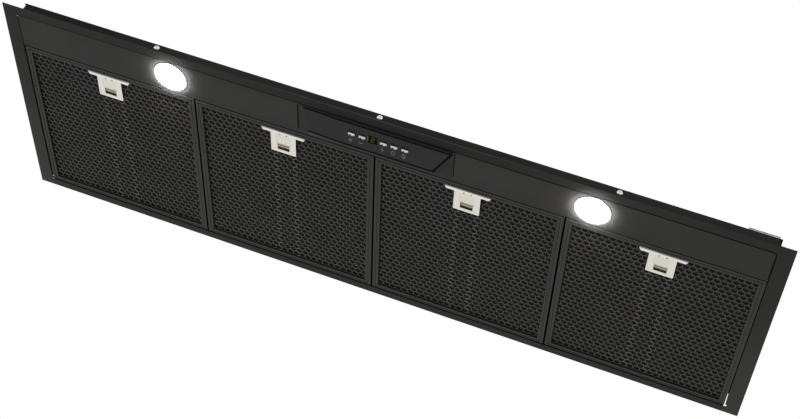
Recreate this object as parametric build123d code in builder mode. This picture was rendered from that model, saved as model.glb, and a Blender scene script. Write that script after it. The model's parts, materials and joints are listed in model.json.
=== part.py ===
"""Range hood insert: a slim tray for the underside of a cabinet, seen and served from below.

A folded trim frame carries a front fascia with two lamps and a control panel, and four hinged
grease filters with spring latches. Above it stand a low plenum hood, a motor box with a twin
inlet blower, and a round duct collar with two damper flaps.

Millimetres. +X to the right, +Y to the rear wall, +Z up. The origin is the middle of the plan,
at the height of the button crowns, the lowest points of the part.
"""
from build123d import *
import os

os.makedirs("parts", exist_ok=True)

# ---- Driving dimensions -------------------------------------------------------------------

# Trim frame, folded from one sheet.
TRIM_LENGTH = 1200.0
TRIM_DEPTH = 398.0
SHEET = 1.0
RIM_FRONT = 15.75
RIM_REAR = 13.6
RIM_SIDE = 22.5
UPSTAND = 25.0
RELIEF_RADIUS = 2.5
SEAM = 2.0
TRIM_BEND = 0.8

# Housing above the trim.
HOOD_END_INSET = 95.0
HOOD_FRONT_INSET = 70.25
HOOD_REAR_INSET = 9.4
HOOD_HEIGHT = 74.0
HOOD_SLOPE_RUN = 34.0
FOOT = 8.0
BOX_LENGTH = 330.0
BOX_DEPTH = 182.0
BOX_HEIGHT = 62.0
BOX_REAR_INSET = 10.0

# Duct collar and damper.
COLLAR_RADIUS = 74.25
COLLAR_WALL = 1.2
COLLAR_HEIGHT = 30.0
COLLAR_FOOT = 9.0
COLLAR_SHIFT = 5.0
DAMPER_PIN_RADIUS = 1.5
DAMPER_PIN_HEIGHT = 8.0
FLAP_THICKNESS = 1.2
FLAP_GAP = 1.5
KNUCKLE_RADIUS = 2.6
KNUCKLE_LENGTH = 18.0
KNUCKLE_SPACING = 22.0
KNUCKLE_GAP = 2.0

# Blower.
SCROLL_START_RADIUS = 64.0
SCROLL_GROWTH = 5.0
SCROLL_WIDTH = 144.0
SCROLL_WALL = 2.0
SCROLL_FLANGE = 8.0
SCROLL_FRONT_GAP = 2.5
SCROLL_AXIS_DROP = 73.0
INLET_RADIUS = 42.0
INLET_LIP = 4.0
IMPELLER_RADIUS = 54.0
IMPELLER_WIDTH = 124.0
BLADE_CHORD = 11.0
BLADE_THICKNESS = 1.4
BLADE_TILT = 28.0
BLADE_COUNT = 30
HUB_RADIUS = 12.0
HUB_LENGTH = 22.0
SHAFT_RADIUS = 4.0
SHAFT_NUT_RADIUS = 6.5
SHAFT_NUT_LENGTH = 4.0
MOTOR_RADIUS = 36.0
MOTOR_LENGTH = 58.0
MOTOR_CHAMFER = 2.0
BRACKET_THICKNESS = 2.0
BRACKET_ARM = 14.0
BRACKET_ARM_LENGTH = 54.0
BRACKET_ARMS = 3
CAPACITOR_RADIUS = 14.0
CAPACITOR_LENGTH = 52.0
CAPACITOR_ROUND = 2.0

# Front fascia.
FASCIA_DEPTH = 61.25
FASCIA_END_GAP = 1.2
FASCIA_FRONT_GAP = 0.15
FASCIA_UPSTAND = 22.0
FASCIA_REAR_UPSTAND = 8.5
FASCIA_LEDGE = 4.0
FASCIA_BEND = 1.2
SCREW_COUNT = 3
SCREW_END_INSET = 246.5
SCREW_HEIGHT = 18.0
SCREW_HEAD_RADIUS = 4.5
SCREW_HEAD_HEIGHT = 2.8
SCREW_HEAD_ROUND = 1.7
SCREW_SHANK_RADIUS = 2.0
SCREW_SHANK_LENGTH = 3.0

# Lamps.
LAMP_END_INSET = 275.5
LAMP_INSET = 45.4
LENS_RADIUS = 25.3
LENS_THICKNESS = 2.5
BEZEL_RIM = 1.8
BEZEL_DROP = 0.8
BEZEL_WALL = 0.7
BARREL_HEIGHT = 10.0
LAMP_BODY_HEIGHT = 18.0
FIN_DEPTH = 3.0
FIN_SLOT = 1.5
FIN_PITCH = 3.0
FIN_SLOTS = 2

# Control panel: a thin base plate with a raised, soft-edged boss whose right end is slanted.
PANEL_LEFT = 118.2
PANEL_RIGHT = 120.2
PANEL_FRONT_INSET = 17.2
PANEL_PLATE = 0.6
PANEL_PLATE_DEPTH = 52.3
PANEL_PLATE_CORNER = 2.0
BOSS_DROP = 3.5
BOSS_DEPTH = 57.3
BOSS_FACE_DEPTH = 44.9
BOSS_BASE_CORNER = 5.0
BOSS_FACE_CORNER = 2.5
BOSS_FRONT_SLOPE = 1.3
BOSS_LEFT_SLOPE = 10.9
BOSS_FRONT_RIGHT = 121.6
BOSS_REAR_RIGHT = 89.3
BOSS_RIGHT_SLOPE = 1.7
BOSS_WALL = 1.7
BOSS_HOLLOW_INSET = 3.4
BOARD_END_INSET = 8.0
BOARD_SIDE_INSET = 6.5
BOARD_HEIGHT = 6.0
BOARD_THICKNESS = 1.6
POST_RADIUS = 2.5

# Keys and display.
KEY_SLOT_COUNT = 6
DISPLAY_INDEX = 2
KEY_PITCH = 16.36
KEY_FIRST = -34.3
KEY_INSET = 40.0
KEY_WIDTH = 12.0
KEY_DEPTH = 8.5
KEY_CROWN = 2.0
KEY_TRAVEL = 1.2
KEY_CORNER = 1.6
KEY_ROUND = 1.3
KEY_FLANGE = 1.2
KEY_FLANGE_THICKNESS = 1.0
KEY_STEM_RADIUS = 1.6
SWITCH_SIZE = 6.0
SWITCH_HEIGHT = 3.5
DISPLAY_WIDTH = 13.8
DISPLAY_DEPTH = 15.4
DISPLAY_SET_BACK = 0.2

# Grease filters.
FILTER_COUNT = 4
FILTER_END_GAP = 2.2
FILTER_SHIFT = 0.7
FILTER_GAP = 3.0
FILTER_FRONT_GAP = 1.3
FILTER_REAR_GAP = 1.5
FILTER_HEIGHT = 9.0
FRAME_WIDTH = 9.5
FRAME_WALL = 4.9
FRAME_FLANGE = 1.0
FRAME_GROOVE_WIDTH = 1.2
FRAME_GROOVE_DEPTH = 0.6
FACE_SET_BACK = 2.8
FACE_THICKNESS = 0.6
REAR_ROUNDING = 3.0

# Filter hinges at the rear.
HINGE_INSET = 1.9
HINGE_HEIGHT = 3.6
HINGE_PIN_RADIUS = 1.25
HINGE_RUNNING = 0.05
EAR_RADIUS = 2.3
EAR_THICKNESS = 3.0
EAR_SPACING = 200.0
EAR_CLEARANCE = 0.3
NOTCH_SIDE = 1.0
RAIL_HEIGHT = 12.0
RAIL_LEG = 10.0
RAIL_UPRIGHT = 11.0

# Latches.
LATCH_BAR = 70.0
LATCH_BAR_DEPTH = 4.8
LATCH_BAR_BEVEL = 2.8
LATCH_BODY = 40.0
LATCH_DEPTH = 43.2
LATCH_INSET = 9.0
LATCH_DROP = 2.0
LATCH_CORNER = 2.0
LATCH_BOX = 30.0
LATCH_BOX_DEPTH = 39.0
LATCH_BOX_INSET = 1.2
LATCH_BOX_WALL = 1.5
WINDOW_WIDTH = 19.4
WINDOW_DEPTH = 11.5
WINDOW_INSET = 26.0
DOT_COUNT = 2
DOT_RADIUS = 0.8
DOT_SPACING = 11.0
DOT_INSET = 4.7
DOT_SINK = 0.4
SLIDER_TRAVEL = 4.0
SLIDER_FLOOR = 1.5
SLIDER_FLOOR_DEPTH = 23.5
RIB_THICKNESS = 2.5
RIB_SET_BACK = 1.2
RIB_SHIFT = 0.6
NECK_WIDTH = 16.0
NECK_DEPTH = 12.0
TONGUE_THICKNESS = 2.0
TONGUE_STOP = 0.4
TONGUE_NOSE = 1.2
SPRING_RADIUS = 1.7
SPRING_WIRE = 0.5
SPRING_TURNS = 4

# Terminal box and cable gland on the deck.
TERMINAL_LENGTH = 44.0
TERMINAL_DEPTH = 45.0
TERMINAL_HEIGHT = 17.0
TERMINAL_END_INSET = 25.0
TERMINAL_FRONT_INSET = 30.0
GLAND_BORE = 4.2
GLAND_RADIUS = 6.0
GLAND_NUT_RADIUS = 8.0
GLAND_LENGTH = 18.0

# Clearances and small fasteners.
SLIP = 0.3
SHANK_PLAY = 0.1
COVER_SCREW_RADIUS = 3.2
COVER_SCREW_HEIGHT = 2.2
FIXING_HOLE_RADIUS = 2.75
FIXING_COUNT = 2
FIXING_SPACING = 260.0

# ---- Places worked out from them ----------------------------------------------------------

Z_TRIM = BOSS_DROP + KEY_CROWN
Z_DECK = Z_TRIM + UPSTAND
Z_HOOD_FOOT = Z_DECK + SHEET
Z_HOOD_TOP = Z_HOOD_FOOT + HOOD_HEIGHT
Z_BOX_TOP = Z_HOOD_TOP + BOX_HEIGHT
Y_FRONT = -TRIM_DEPTH / 2
Y_OPEN_FRONT = Y_FRONT + RIM_FRONT
Y_OPEN_REAR = TRIM_DEPTH / 2 - RIM_REAR
Y_OPEN_MID = (Y_OPEN_FRONT + Y_OPEN_REAR) / 2
OPEN_DEPTH = Y_OPEN_REAR - Y_OPEN_FRONT
X_OPEN = TRIM_LENGTH / 2 - RIM_SIDE
HOOD_LENGTH = TRIM_LENGTH - 2 * HOOD_END_INSET
Y_HOOD_FRONT = Y_OPEN_FRONT + HOOD_FRONT_INSET
Y_HOOD_REAR = Y_OPEN_REAR - HOOD_REAR_INSET
Y_BOX_REAR = Y_HOOD_REAR - BOX_REAR_INSET
Y_BOX_MID = Y_BOX_REAR - BOX_DEPTH / 2
Y_BOX_FRONT = Y_BOX_REAR - BOX_DEPTH
Y_COLLAR = Y_BOX_MID + COLLAR_SHIFT
Z_DAMPER = Z_BOX_TOP + DAMPER_PIN_HEIGHT
Y_FASCIA_FRONT = Y_OPEN_FRONT + FASCIA_FRONT_GAP
Y_FASCIA_REAR = Y_OPEN_FRONT + FASCIA_DEPTH
Y_FILTER_FRONT = Y_FASCIA_REAR + FILTER_FRONT_GAP
Y_FILTER_REAR = Y_OPEN_REAR - FILTER_REAR_GAP
Y_FILTER_MID = (Y_FILTER_FRONT + Y_FILTER_REAR) / 2
FILTER_DEPTH = Y_FILTER_REAR - Y_FILTER_FRONT
FILTER_PITCH = (2 * (X_OPEN - FILTER_END_GAP) + FILTER_GAP) / FILTER_COUNT
FILTER_WIDTH = FILTER_PITCH - FILTER_GAP
FILTER_CENTRES = [
    FILTER_SHIFT + FILTER_PITCH * (index - (FILTER_COUNT - 1) / 2) for index in range(FILTER_COUNT)
]
Z_FACE = Z_TRIM + FACE_SET_BACK
Z_PAD = Z_FACE + FACE_THICKNESS
Z_FILTER_TOP = Z_TRIM + FILTER_HEIGHT
Y_HINGE = Y_FILTER_REAR - HINGE_INSET
Z_HINGE = Z_TRIM + HINGE_HEIGHT
Y_LATCH = Y_FILTER_FRONT + LATCH_INSET
Z_LATCH = Z_TRIM - LATCH_DROP
Y_LATCH_BOX = Y_LATCH + LATCH_DEPTH - LATCH_BOX_INSET - LATCH_BOX_DEPTH / 2
Y_WINDOW = Y_LATCH + WINDOW_INSET + WINDOW_DEPTH / 2
Z_BOSS = Z_TRIM - BOSS_DROP
Z_BOARD = Z_TRIM + BOARD_HEIGHT
Y_PANEL = Y_FRONT + PANEL_FRONT_INSET
FACE_FRONT = Y_PANEL + BOSS_FRONT_SLOPE
FACE_REAR = FACE_FRONT + BOSS_FACE_DEPTH
FACE_LEFT = -PANEL_LEFT + BOSS_LEFT_SLOPE
SLANT = (BOSS_FRONT_RIGHT - BOSS_REAR_RIGHT) / BOSS_DEPTH
FACE_FRONT_RIGHT = BOSS_FRONT_RIGHT - BOSS_RIGHT_SLOPE - SLANT * BOSS_FRONT_SLOPE
FACE_REAR_RIGHT = FACE_FRONT_RIGHT - SLANT * BOSS_FACE_DEPTH
Y_KEYS = Y_FRONT + KEY_INSET
KEY_SLOTS = [KEY_FIRST + KEY_PITCH * slot for slot in range(KEY_SLOT_COUNT)]
KEY_CENTRES = [x for slot, x in enumerate(KEY_SLOTS) if slot != DISPLAY_INDEX]
Y_LAMP = Y_FRONT + LAMP_INSET
LAMP_SPACING = TRIM_LENGTH - 2 * LAMP_END_INSET
LAMP_CENTRES = {"left": -LAMP_SPACING / 2, "right": LAMP_SPACING / 2}
SCREW_SPACING = (TRIM_LENGTH - 2 * SCREW_END_INSET) / (SCREW_COUNT - 1)
Z_SCREW = Z_TRIM + SCREW_HEIGHT
Y_SCROLL = Y_BOX_FRONT + SHEET + SCROLL_FRONT_GAP + SCROLL_START_RADIUS + SCROLL_GROWTH / 2
Z_SCROLL = Z_BOX_TOP - SHEET - SCROLL_AXIS_DROP
Y_OUTLET_FRONT = Y_SCROLL - SCROLL_GROWTH / 2
Y_OUTLET_REAR = Y_SCROLL + 2.5 * SCROLL_GROWTH + SCROLL_START_RADIUS
X_TERMINAL = TRIM_LENGTH / 2 - TERMINAL_END_INSET - TERMINAL_LENGTH / 2
Y_TERMINAL = Y_FRONT + TERMINAL_FRONT_INSET + TERMINAL_DEPTH / 2
Z_GLAND = Z_HOOD_FOOT + TERMINAL_HEIGHT / 2


def save(piece, name):
    """Label one finished piece and write it under its own name."""
    piece.label = name
    export_step(piece, f"parts/{name}.step")


# ---- Trim frame and housing ---------------------------------------------------------------

with BuildPart() as trim_frame:
    with BuildSketch(Plane.XY.offset(Z_TRIM)):
        Rectangle(TRIM_LENGTH, TRIM_DEPTH)
        with Locations((0, Y_OPEN_MID)):
            Rectangle(2 * X_OPEN, OPEN_DEPTH, mode=Mode.SUBTRACT)
        with Locations((0, Y_OPEN_MID)):
            with GridLocations(2 * X_OPEN, OPEN_DEPTH - 2 * RELIEF_RADIUS, 2, 2):
                Circle(RELIEF_RADIUS, mode=Mode.SUBTRACT)
    extrude(amount=SHEET)
    with BuildSketch(Plane.XY.offset(Z_TRIM)):
        with Locations((0, Y_OPEN_FRONT - SHEET / 2), (0, Y_OPEN_REAR + SHEET / 2)):
            Rectangle(2 * (X_OPEN - SEAM), SHEET)
        with Locations((0, Y_OPEN_MID)):
            with GridLocations(2 * X_OPEN + SHEET, 0, 2, 1):
                Rectangle(SHEET, OPEN_DEPTH - 4 * RELIEF_RADIUS - SEAM / 2)
    extrude(amount=UPSTAND)
    lower_edges = trim_frame.edges().filter_by(Axis.X).group_by(Axis.Z)[0]
    rim_edges = [e for e in lower_edges if abs(e.center().Y) < TRIM_DEPTH / 2 - SHEET]
    fillet(rim_edges, TRIM_BEND)
    with BuildSketch(Plane.XZ.offset(-Y_OPEN_FRONT)):
        with Locations((0, Z_SCREW)):
            with GridLocations(SCREW_SPACING, 0, SCREW_COUNT, 1):
                Circle(SCREW_SHANK_RADIUS + SHANK_PLAY)
    extrude(amount=SHEET, mode=Mode.SUBTRACT)
    with BuildSketch(Plane.YZ):
        with Locations((Y_OPEN_MID, Z_TRIM + UPSTAND / 2)):
            with GridLocations(FIXING_SPACING, 0, FIXING_COUNT, 1):
                Circle(FIXING_HOLE_RADIUS)
    extrude(amount=TRIM_LENGTH / 2, both=True, mode=Mode.SUBTRACT)
save(trim_frame.part, "trim_frame")

with BuildPart() as deck_plate:
    with BuildSketch(Plane.XY.offset(Z_DECK)):
        with Locations((0, Y_OPEN_MID)):
            Rectangle(2 * (X_OPEN + SHEET), OPEN_DEPTH + 2 * SHEET)
        with Locations((0, (Y_HOOD_FRONT + Y_HOOD_REAR) / 2)):
            Rectangle(HOOD_LENGTH - 2 * SHEET, Y_HOOD_REAR - Y_HOOD_FRONT - 2 * SHEET, mode=Mode.SUBTRACT)
    extrude(amount=SHEET)
save(deck_plate.part, "deck_plate")

HOOD_MID = (Y_HOOD_FRONT + Y_HOOD_REAR) / 2
HOOD_DEPTH = Y_HOOD_REAR - Y_HOOD_FRONT

with BuildPart() as plenum_hood:
    with BuildSketch(Plane.YZ):
        with BuildLine():
            Polyline(
                (Y_HOOD_FRONT, Z_HOOD_FOOT),
                (Y_HOOD_FRONT + HOOD_SLOPE_RUN, Z_HOOD_TOP),
                (Y_HOOD_REAR, Z_HOOD_TOP),
                (Y_HOOD_REAR, Z_HOOD_FOOT),
                close=True,
            )
        make_face()
    extrude(amount=HOOD_LENGTH / 2, both=True)
    offset(amount=-SHEET, openings=plenum_hood.faces().sort_by(Axis.Z)[0])
    with BuildSketch(Plane.XY.offset(Z_HOOD_FOOT)):
        with Locations((0, HOOD_MID)):
            Rectangle(HOOD_LENGTH + 2 * FOOT, HOOD_DEPTH + 2 * FOOT)
            Rectangle(HOOD_LENGTH - 2 * SHEET, HOOD_DEPTH - 2 * SHEET, mode=Mode.SUBTRACT)
    extrude(amount=SHEET)
    with BuildSketch(Plane.XY.offset(Z_HOOD_TOP - SHEET)):
        with Locations((0, Y_BOX_MID)):
            Rectangle(BOX_LENGTH - 2 * SHEET, BOX_DEPTH - 2 * SHEET)
    extrude(amount=SHEET, mode=Mode.SUBTRACT)
save(plenum_hood.part, "plenum_hood")

with BuildPart() as motor_box:
    with BuildSketch(Plane.XY.offset(Z_HOOD_TOP)):
        with Locations((0, Y_BOX_MID)):
            Rectangle(BOX_LENGTH, BOX_DEPTH)
    extrude(amount=BOX_HEIGHT)
    offset(amount=-SHEET, openings=motor_box.faces().sort_by(Axis.Z)[0])
    with BuildSketch(Plane.XY.offset(Z_HOOD_TOP)):
        with Locations((0, Y_BOX_MID)):
            Rectangle(BOX_LENGTH + 2 * FOOT, BOX_DEPTH + 2 * FOOT)
            Rectangle(BOX_LENGTH - 2 * SHEET, BOX_DEPTH - 2 * SHEET, mode=Mode.SUBTRACT)
    extrude(amount=SHEET)
    with BuildSketch(Plane.XY.offset(Z_BOX_TOP - SHEET)):
        with Locations((0, Y_COLLAR)):
            Circle(COLLAR_RADIUS - COLLAR_WALL)
    extrude(amount=SHEET, mode=Mode.SUBTRACT)
save(motor_box.part, "motor_box")


# ---- Duct collar with its damper ----------------------------------------------------------

with BuildPart() as duct_collar:
    with BuildSketch(Plane.XY.offset(Z_BOX_TOP)):
        with Locations((0, Y_COLLAR)):
            Circle(COLLAR_RADIUS)
            Circle(COLLAR_RADIUS - COLLAR_WALL, mode=Mode.SUBTRACT)
    extrude(amount=COLLAR_HEIGHT)
    with BuildSketch(Plane.XY.offset(Z_BOX_TOP)):
        with Locations((0, Y_COLLAR)):
            Circle(COLLAR_RADIUS + COLLAR_FOOT)
            Circle(COLLAR_RADIUS - COLLAR_WALL, mode=Mode.SUBTRACT)
    extrude(amount=SHEET)
    with BuildSketch(Plane.YZ):
        with Locations((Y_COLLAR, Z_DAMPER)):
            Circle(DAMPER_PIN_RADIUS + HINGE_RUNNING)
    extrude(amount=COLLAR_RADIUS + COLLAR_WALL, both=True, mode=Mode.SUBTRACT)
save(duct_collar.part, "duct_collar")

with BuildPart() as damper_pin:
    with BuildSketch(Plane.YZ):
        with Locations((Y_COLLAR, Z_DAMPER)):
            Circle(DAMPER_PIN_RADIUS)
    extrude(amount=COLLAR_RADIUS - HINGE_RUNNING, both=True)
save(damper_pin.part, "damper_pin")


def damper_flap(side, knuckle_places):
    """Half disc under the pin; side is -1 for the front half and 1 for the rear half."""
    knuckle_bore = DAMPER_PIN_RADIUS + HINGE_RUNNING
    root = KNUCKLE_RADIUS + SLIP
    with BuildPart() as flap:
        with BuildSketch(Plane((0, Y_COLLAR, Z_DAMPER - KNUCKLE_RADIUS))):
            Circle(COLLAR_RADIUS - COLLAR_WALL - FLAP_GAP)
            with Locations((0, -side * (COLLAR_RADIUS - root))):
                Rectangle(2 * COLLAR_RADIUS, 2 * COLLAR_RADIUS, mode=Mode.SUBTRACT)
            with Locations([(x, side * root / 2) for x in knuckle_places]):
                Rectangle(KNUCKLE_LENGTH, root)
        extrude(amount=FLAP_THICKNESS)
        for x in knuckle_places:
            with BuildSketch(Plane.YZ.offset(x)):
                with Locations((Y_COLLAR, Z_DAMPER)):
                    Circle(KNUCKLE_RADIUS)
            extrude(amount=KNUCKLE_LENGTH / 2, both=True)
        with BuildSketch(Plane.YZ):
            with Locations((Y_COLLAR, Z_DAMPER)):
                Circle(knuckle_bore)
        extrude(amount=COLLAR_RADIUS, both=True, mode=Mode.SUBTRACT)
    return flap.part


INNER_KNUCKLES = [-KNUCKLE_SPACING / 2 - KNUCKLE_LENGTH / 2, KNUCKLE_SPACING / 2 + KNUCKLE_LENGTH / 2]
OUTER_KNUCKLES = [x + (1 if x > 0 else -1) * (KNUCKLE_LENGTH + KNUCKLE_GAP) for x in INNER_KNUCKLES]
save(damper_flap(-1, OUTER_KNUCKLES), "damper_flap_front")
save(damper_flap(1, INNER_KNUCKLES), "damper_flap_rear")


# ---- Blower -------------------------------------------------------------------------------


def scroll_outline(inset):
    """Face of three quarter arcs that opens into a straight outlet, drawn inset from its skin."""
    half = SCROLL_GROWTH / 2
    radius = [SCROLL_START_RADIUS + SCROLL_GROWTH * turn - inset for turn in range(3)]
    top = SCROLL_AXIS_DROP
    front_side = -half + inset
    rear_side = half + radius[2]
    with BuildSketch() as outline:
        with BuildLine():
            first = CenterArc((-half, -half), radius[0], 90, 90)
            CenterArc((half, -half), radius[1], 180, 90)
            CenterArc((half, half), radius[2], 270, 90)
            Polyline((rear_side, half), (rear_side, top), (front_side, top), (front_side, (first @ 0).Y))
            if inset > 0:
                Line((front_side, (first @ 0).Y), first @ 0)
        make_face()
    return outline.sketch


with BuildPart() as scroll_casing:
    scroll_plane = Plane((0, Y_SCROLL, Z_SCROLL), x_dir=(0, 1, 0), z_dir=(1, 0, 0))
    with BuildSketch(scroll_plane):
        add(scroll_outline(0.0))
    extrude(amount=SCROLL_WIDTH / 2, both=True)
    with BuildSketch(Plane.XY.offset(Z_SCROLL + SCROLL_AXIS_DROP - SCROLL_WALL)):
        with Locations((0, (Y_OUTLET_FRONT + Y_OUTLET_REAR) / 2)):
            Rectangle(SCROLL_WIDTH + 2 * SCROLL_FLANGE, Y_OUTLET_REAR - Y_OUTLET_FRONT + 2 * SCROLL_FLANGE)
    extrude(amount=SCROLL_WALL)
    with BuildSketch(scroll_plane):
        Circle(INLET_RADIUS + INLET_LIP)
    extrude(amount=SCROLL_WIDTH / 2 + INLET_LIP, both=True)
    with BuildSketch(scroll_plane):
        add(scroll_outline(SCROLL_WALL))
    extrude(amount=SCROLL_WIDTH / 2 - SCROLL_WALL, both=True, mode=Mode.SUBTRACT)
    with BuildSketch(scroll_plane):
        Circle(INLET_RADIUS)
    extrude(amount=SCROLL_WIDTH, both=True, mode=Mode.SUBTRACT)
save(scroll_casing.part, "scroll_casing")

with BuildPart() as impeller:
    with BuildSketch(scroll_plane):
        blade_middle = IMPELLER_RADIUS - BLADE_CHORD / 2
        with PolarLocations(blade_middle, BLADE_COUNT):
            Rectangle(BLADE_CHORD, BLADE_THICKNESS, rotation=BLADE_TILT)
    extrude(amount=IMPELLER_WIDTH / 2, both=True)
    with BuildSketch(scroll_plane):
        Circle(IMPELLER_RADIUS - BLADE_THICKNESS)
    extrude(amount=BLADE_THICKNESS, both=True)
    for end in (-1, 1):
        with BuildSketch(scroll_plane.offset(end * (IMPELLER_WIDTH / 2 - BLADE_THICKNESS))):
            Circle(IMPELLER_RADIUS)
            Circle(IMPELLER_RADIUS - BLADE_CHORD, mode=Mode.SUBTRACT)
        extrude(amount=BLADE_THICKNESS, both=True)
    with BuildSketch(scroll_plane.offset(-HUB_LENGTH)):
        Circle(HUB_RADIUS)
    extrude(amount=HUB_LENGTH)
    with BuildSketch(scroll_plane):
        Circle(SHAFT_RADIUS)
    extrude(amount=IMPELLER_WIDTH, both=True, mode=Mode.SUBTRACT)
save(impeller.part, "impeller")

X_MOTOR = SCROLL_WIDTH / 2 + INLET_LIP - MOTOR_LENGTH

with BuildPart() as motor:
    with BuildSketch(scroll_plane.offset(X_MOTOR)):
        Circle(MOTOR_RADIUS)
    extrude(amount=MOTOR_LENGTH)
    chamfer(motor.edges().filter_by(GeomType.CIRCLE), MOTOR_CHAMFER)
    with BuildSketch(scroll_plane.offset(X_MOTOR)):
        Circle(SHAFT_RADIUS + HINGE_RUNNING)
    extrude(amount=MOTOR_LENGTH / 2, mode=Mode.SUBTRACT)
save(motor.part, "motor")

with BuildPart() as motor_shaft:
    with BuildSketch(scroll_plane.offset(-HUB_LENGTH - SHAFT_NUT_LENGTH)):
        Circle(SHAFT_RADIUS)
    extrude(amount=HUB_LENGTH + SHAFT_NUT_LENGTH + X_MOTOR + MOTOR_LENGTH / 2 - SLIP)
    with BuildSketch(scroll_plane.offset(-HUB_LENGTH - SHAFT_NUT_LENGTH)):
        RegularPolygon(SHAFT_NUT_RADIUS, 6)
    extrude(amount=SHAFT_NUT_LENGTH)
save(motor_shaft.part, "motor_shaft")

with BuildPart() as motor_bracket:
    with BuildSketch(scroll_plane.offset(SCROLL_WIDTH / 2 + INLET_LIP)):
        Circle(MOTOR_RADIUS / 2)
        with PolarLocations(BRACKET_ARM_LENGTH / 2, BRACKET_ARMS, start_angle=90):
            Rectangle(BRACKET_ARM_LENGTH, BRACKET_ARM)
    extrude(amount=BRACKET_THICKNESS)
    with BuildSketch(scroll_plane.offset(SCROLL_WIDTH / 2)):
        with PolarLocations(BRACKET_ARM_LENGTH - BRACKET_THICKNESS, BRACKET_ARMS, start_angle=90):
            Rectangle(2 * BRACKET_THICKNESS, BRACKET_ARM)
    extrude(amount=INLET_LIP)
save(motor_bracket.part, "motor_bracket")

with BuildPart() as run_capacitor:
    with BuildSketch(Plane.XY.offset(Z_BOX_TOP - SHEET)):
        with Locations((-(BOX_LENGTH / 2 + SCROLL_WIDTH / 2) / 2, Y_BOX_MID)):
            Circle(CAPACITOR_RADIUS)
    extrude(amount=-CAPACITOR_LENGTH)
    fillet(run_capacitor.edges().group_by(Axis.Z)[0], CAPACITOR_ROUND)
save(run_capacitor.part, "run_capacitor")


# ---- Terminal box and gland ---------------------------------------------------------------

with BuildPart() as terminal_box:
    with BuildSketch(Plane.XY.offset(Z_HOOD_FOOT)):
        with Locations((X_TERMINAL, Y_TERMINAL)):
            Rectangle(TERMINAL_LENGTH, TERMINAL_DEPTH)
    extrude(amount=TERMINAL_HEIGHT)
    offset(amount=-SHEET, openings=terminal_box.faces().sort_by(Axis.Z)[0])
    with BuildSketch(Plane.XZ.offset(-Y_TERMINAL)):
        with Locations((X_TERMINAL, Z_GLAND)):
            Circle(GLAND_RADIUS)
    extrude(amount=-TERMINAL_DEPTH, mode=Mode.SUBTRACT)
save(terminal_box.part, "terminal_box")

with BuildPart() as cable_gland:
    gland_plane = Plane((X_TERMINAL, Y_TERMINAL + TERMINAL_DEPTH / 2, Z_GLAND), z_dir=(0, 1, 0))
    with BuildSketch(gland_plane.offset(-2 * SHEET)):
        Circle(GLAND_RADIUS)
    extrude(amount=GLAND_LENGTH)
    with BuildSketch(gland_plane):
        RegularPolygon(GLAND_NUT_RADIUS, 6)
    extrude(amount=GLAND_RADIUS)
    with BuildSketch(gland_plane.offset(-2 * SHEET)):
        Circle(GLAND_BORE)
    extrude(amount=GLAND_LENGTH, mode=Mode.SUBTRACT)
save(cable_gland.part, "cable_gland")


# ---- Front fascia, its screws and lamps ---------------------------------------------------

with BuildPart() as front_fascia:
    fascia_half = X_OPEN - FASCIA_END_GAP
    fascia_mid = (Y_FASCIA_FRONT + Y_FASCIA_REAR) / 2
    with BuildSketch(Plane.YZ):
        with BuildLine():
            FilletPolyline(
                (Y_FASCIA_FRONT + SHEET / 2, Z_TRIM + FASCIA_UPSTAND),
                (Y_FASCIA_FRONT + SHEET / 2, Z_TRIM + SHEET / 2),
                (Y_FASCIA_REAR - SHEET / 2, Z_TRIM + SHEET / 2),
                (Y_FASCIA_REAR - SHEET / 2, Z_TRIM + FASCIA_REAR_UPSTAND - SHEET / 2),
                (Y_FASCIA_REAR - FASCIA_LEDGE, Z_TRIM + FASCIA_REAR_UPSTAND - SHEET / 2),
                radius=FASCIA_BEND - SHEET / 2,
            )
            offset(amount=SHEET / 2, kind=Kind.ARC, side=Side.BOTH, closed=True, mode=Mode.REPLACE)
        make_face()
    extrude(amount=fascia_half, both=True)
    with BuildSketch(Plane.XY.offset(Z_TRIM)):
        with Locations((0, Y_LAMP)):
            with GridLocations(LAMP_SPACING, 0, 2, 1):
                Circle(LENS_RADIUS + SLIP + BEZEL_WALL + SLIP)
    extrude(amount=SHEET, mode=Mode.SUBTRACT)
    with BuildSketch(Plane.XZ.offset(-Y_FASCIA_FRONT)):
        with Locations((0, Z_SCREW)):
            with GridLocations(SCREW_SPACING, 0, SCREW_COUNT, 1):
                Circle(SCREW_SHANK_RADIUS + SHANK_PLAY)
    extrude(amount=-SHEET, mode=Mode.SUBTRACT)
    hole_left = FACE_LEFT + BOARD_END_INSET - SLIP
    hole_right = FACE_REAR_RIGHT - BOARD_END_INSET + SLIP
    with BuildSketch(Plane.XY.offset(Z_TRIM)):
        with Locations(((hole_left + hole_right) / 2, (FACE_FRONT + FACE_REAR) / 2)):
            Rectangle(hole_right - hole_left, BOSS_FACE_DEPTH - 2 * (BOARD_SIDE_INSET - SLIP))
    extrude(amount=SHEET, mode=Mode.SUBTRACT)
save(front_fascia.part, "front_fascia")

with BuildPart() as front_screws:
    screw_plane = Plane((0, Y_OPEN_FRONT - SHEET, Z_SCREW), x_dir=(1, 0, 0), z_dir=(0, -1, 0))
    with BuildSketch(screw_plane):
        with GridLocations(SCREW_SPACING, 0, SCREW_COUNT, 1):
            Circle(SCREW_HEAD_RADIUS)
    extrude(amount=SCREW_HEAD_HEIGHT)
    fillet(front_screws.edges().group_by(Axis.Y)[0], SCREW_HEAD_ROUND)
    with BuildSketch(screw_plane):
        with GridLocations(SCREW_SPACING, 0, SCREW_COUNT, 1):
            Circle(SCREW_SHANK_RADIUS)
    extrude(amount=-SCREW_SHANK_LENGTH)
save(front_screws.part, "front_screws")


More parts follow.
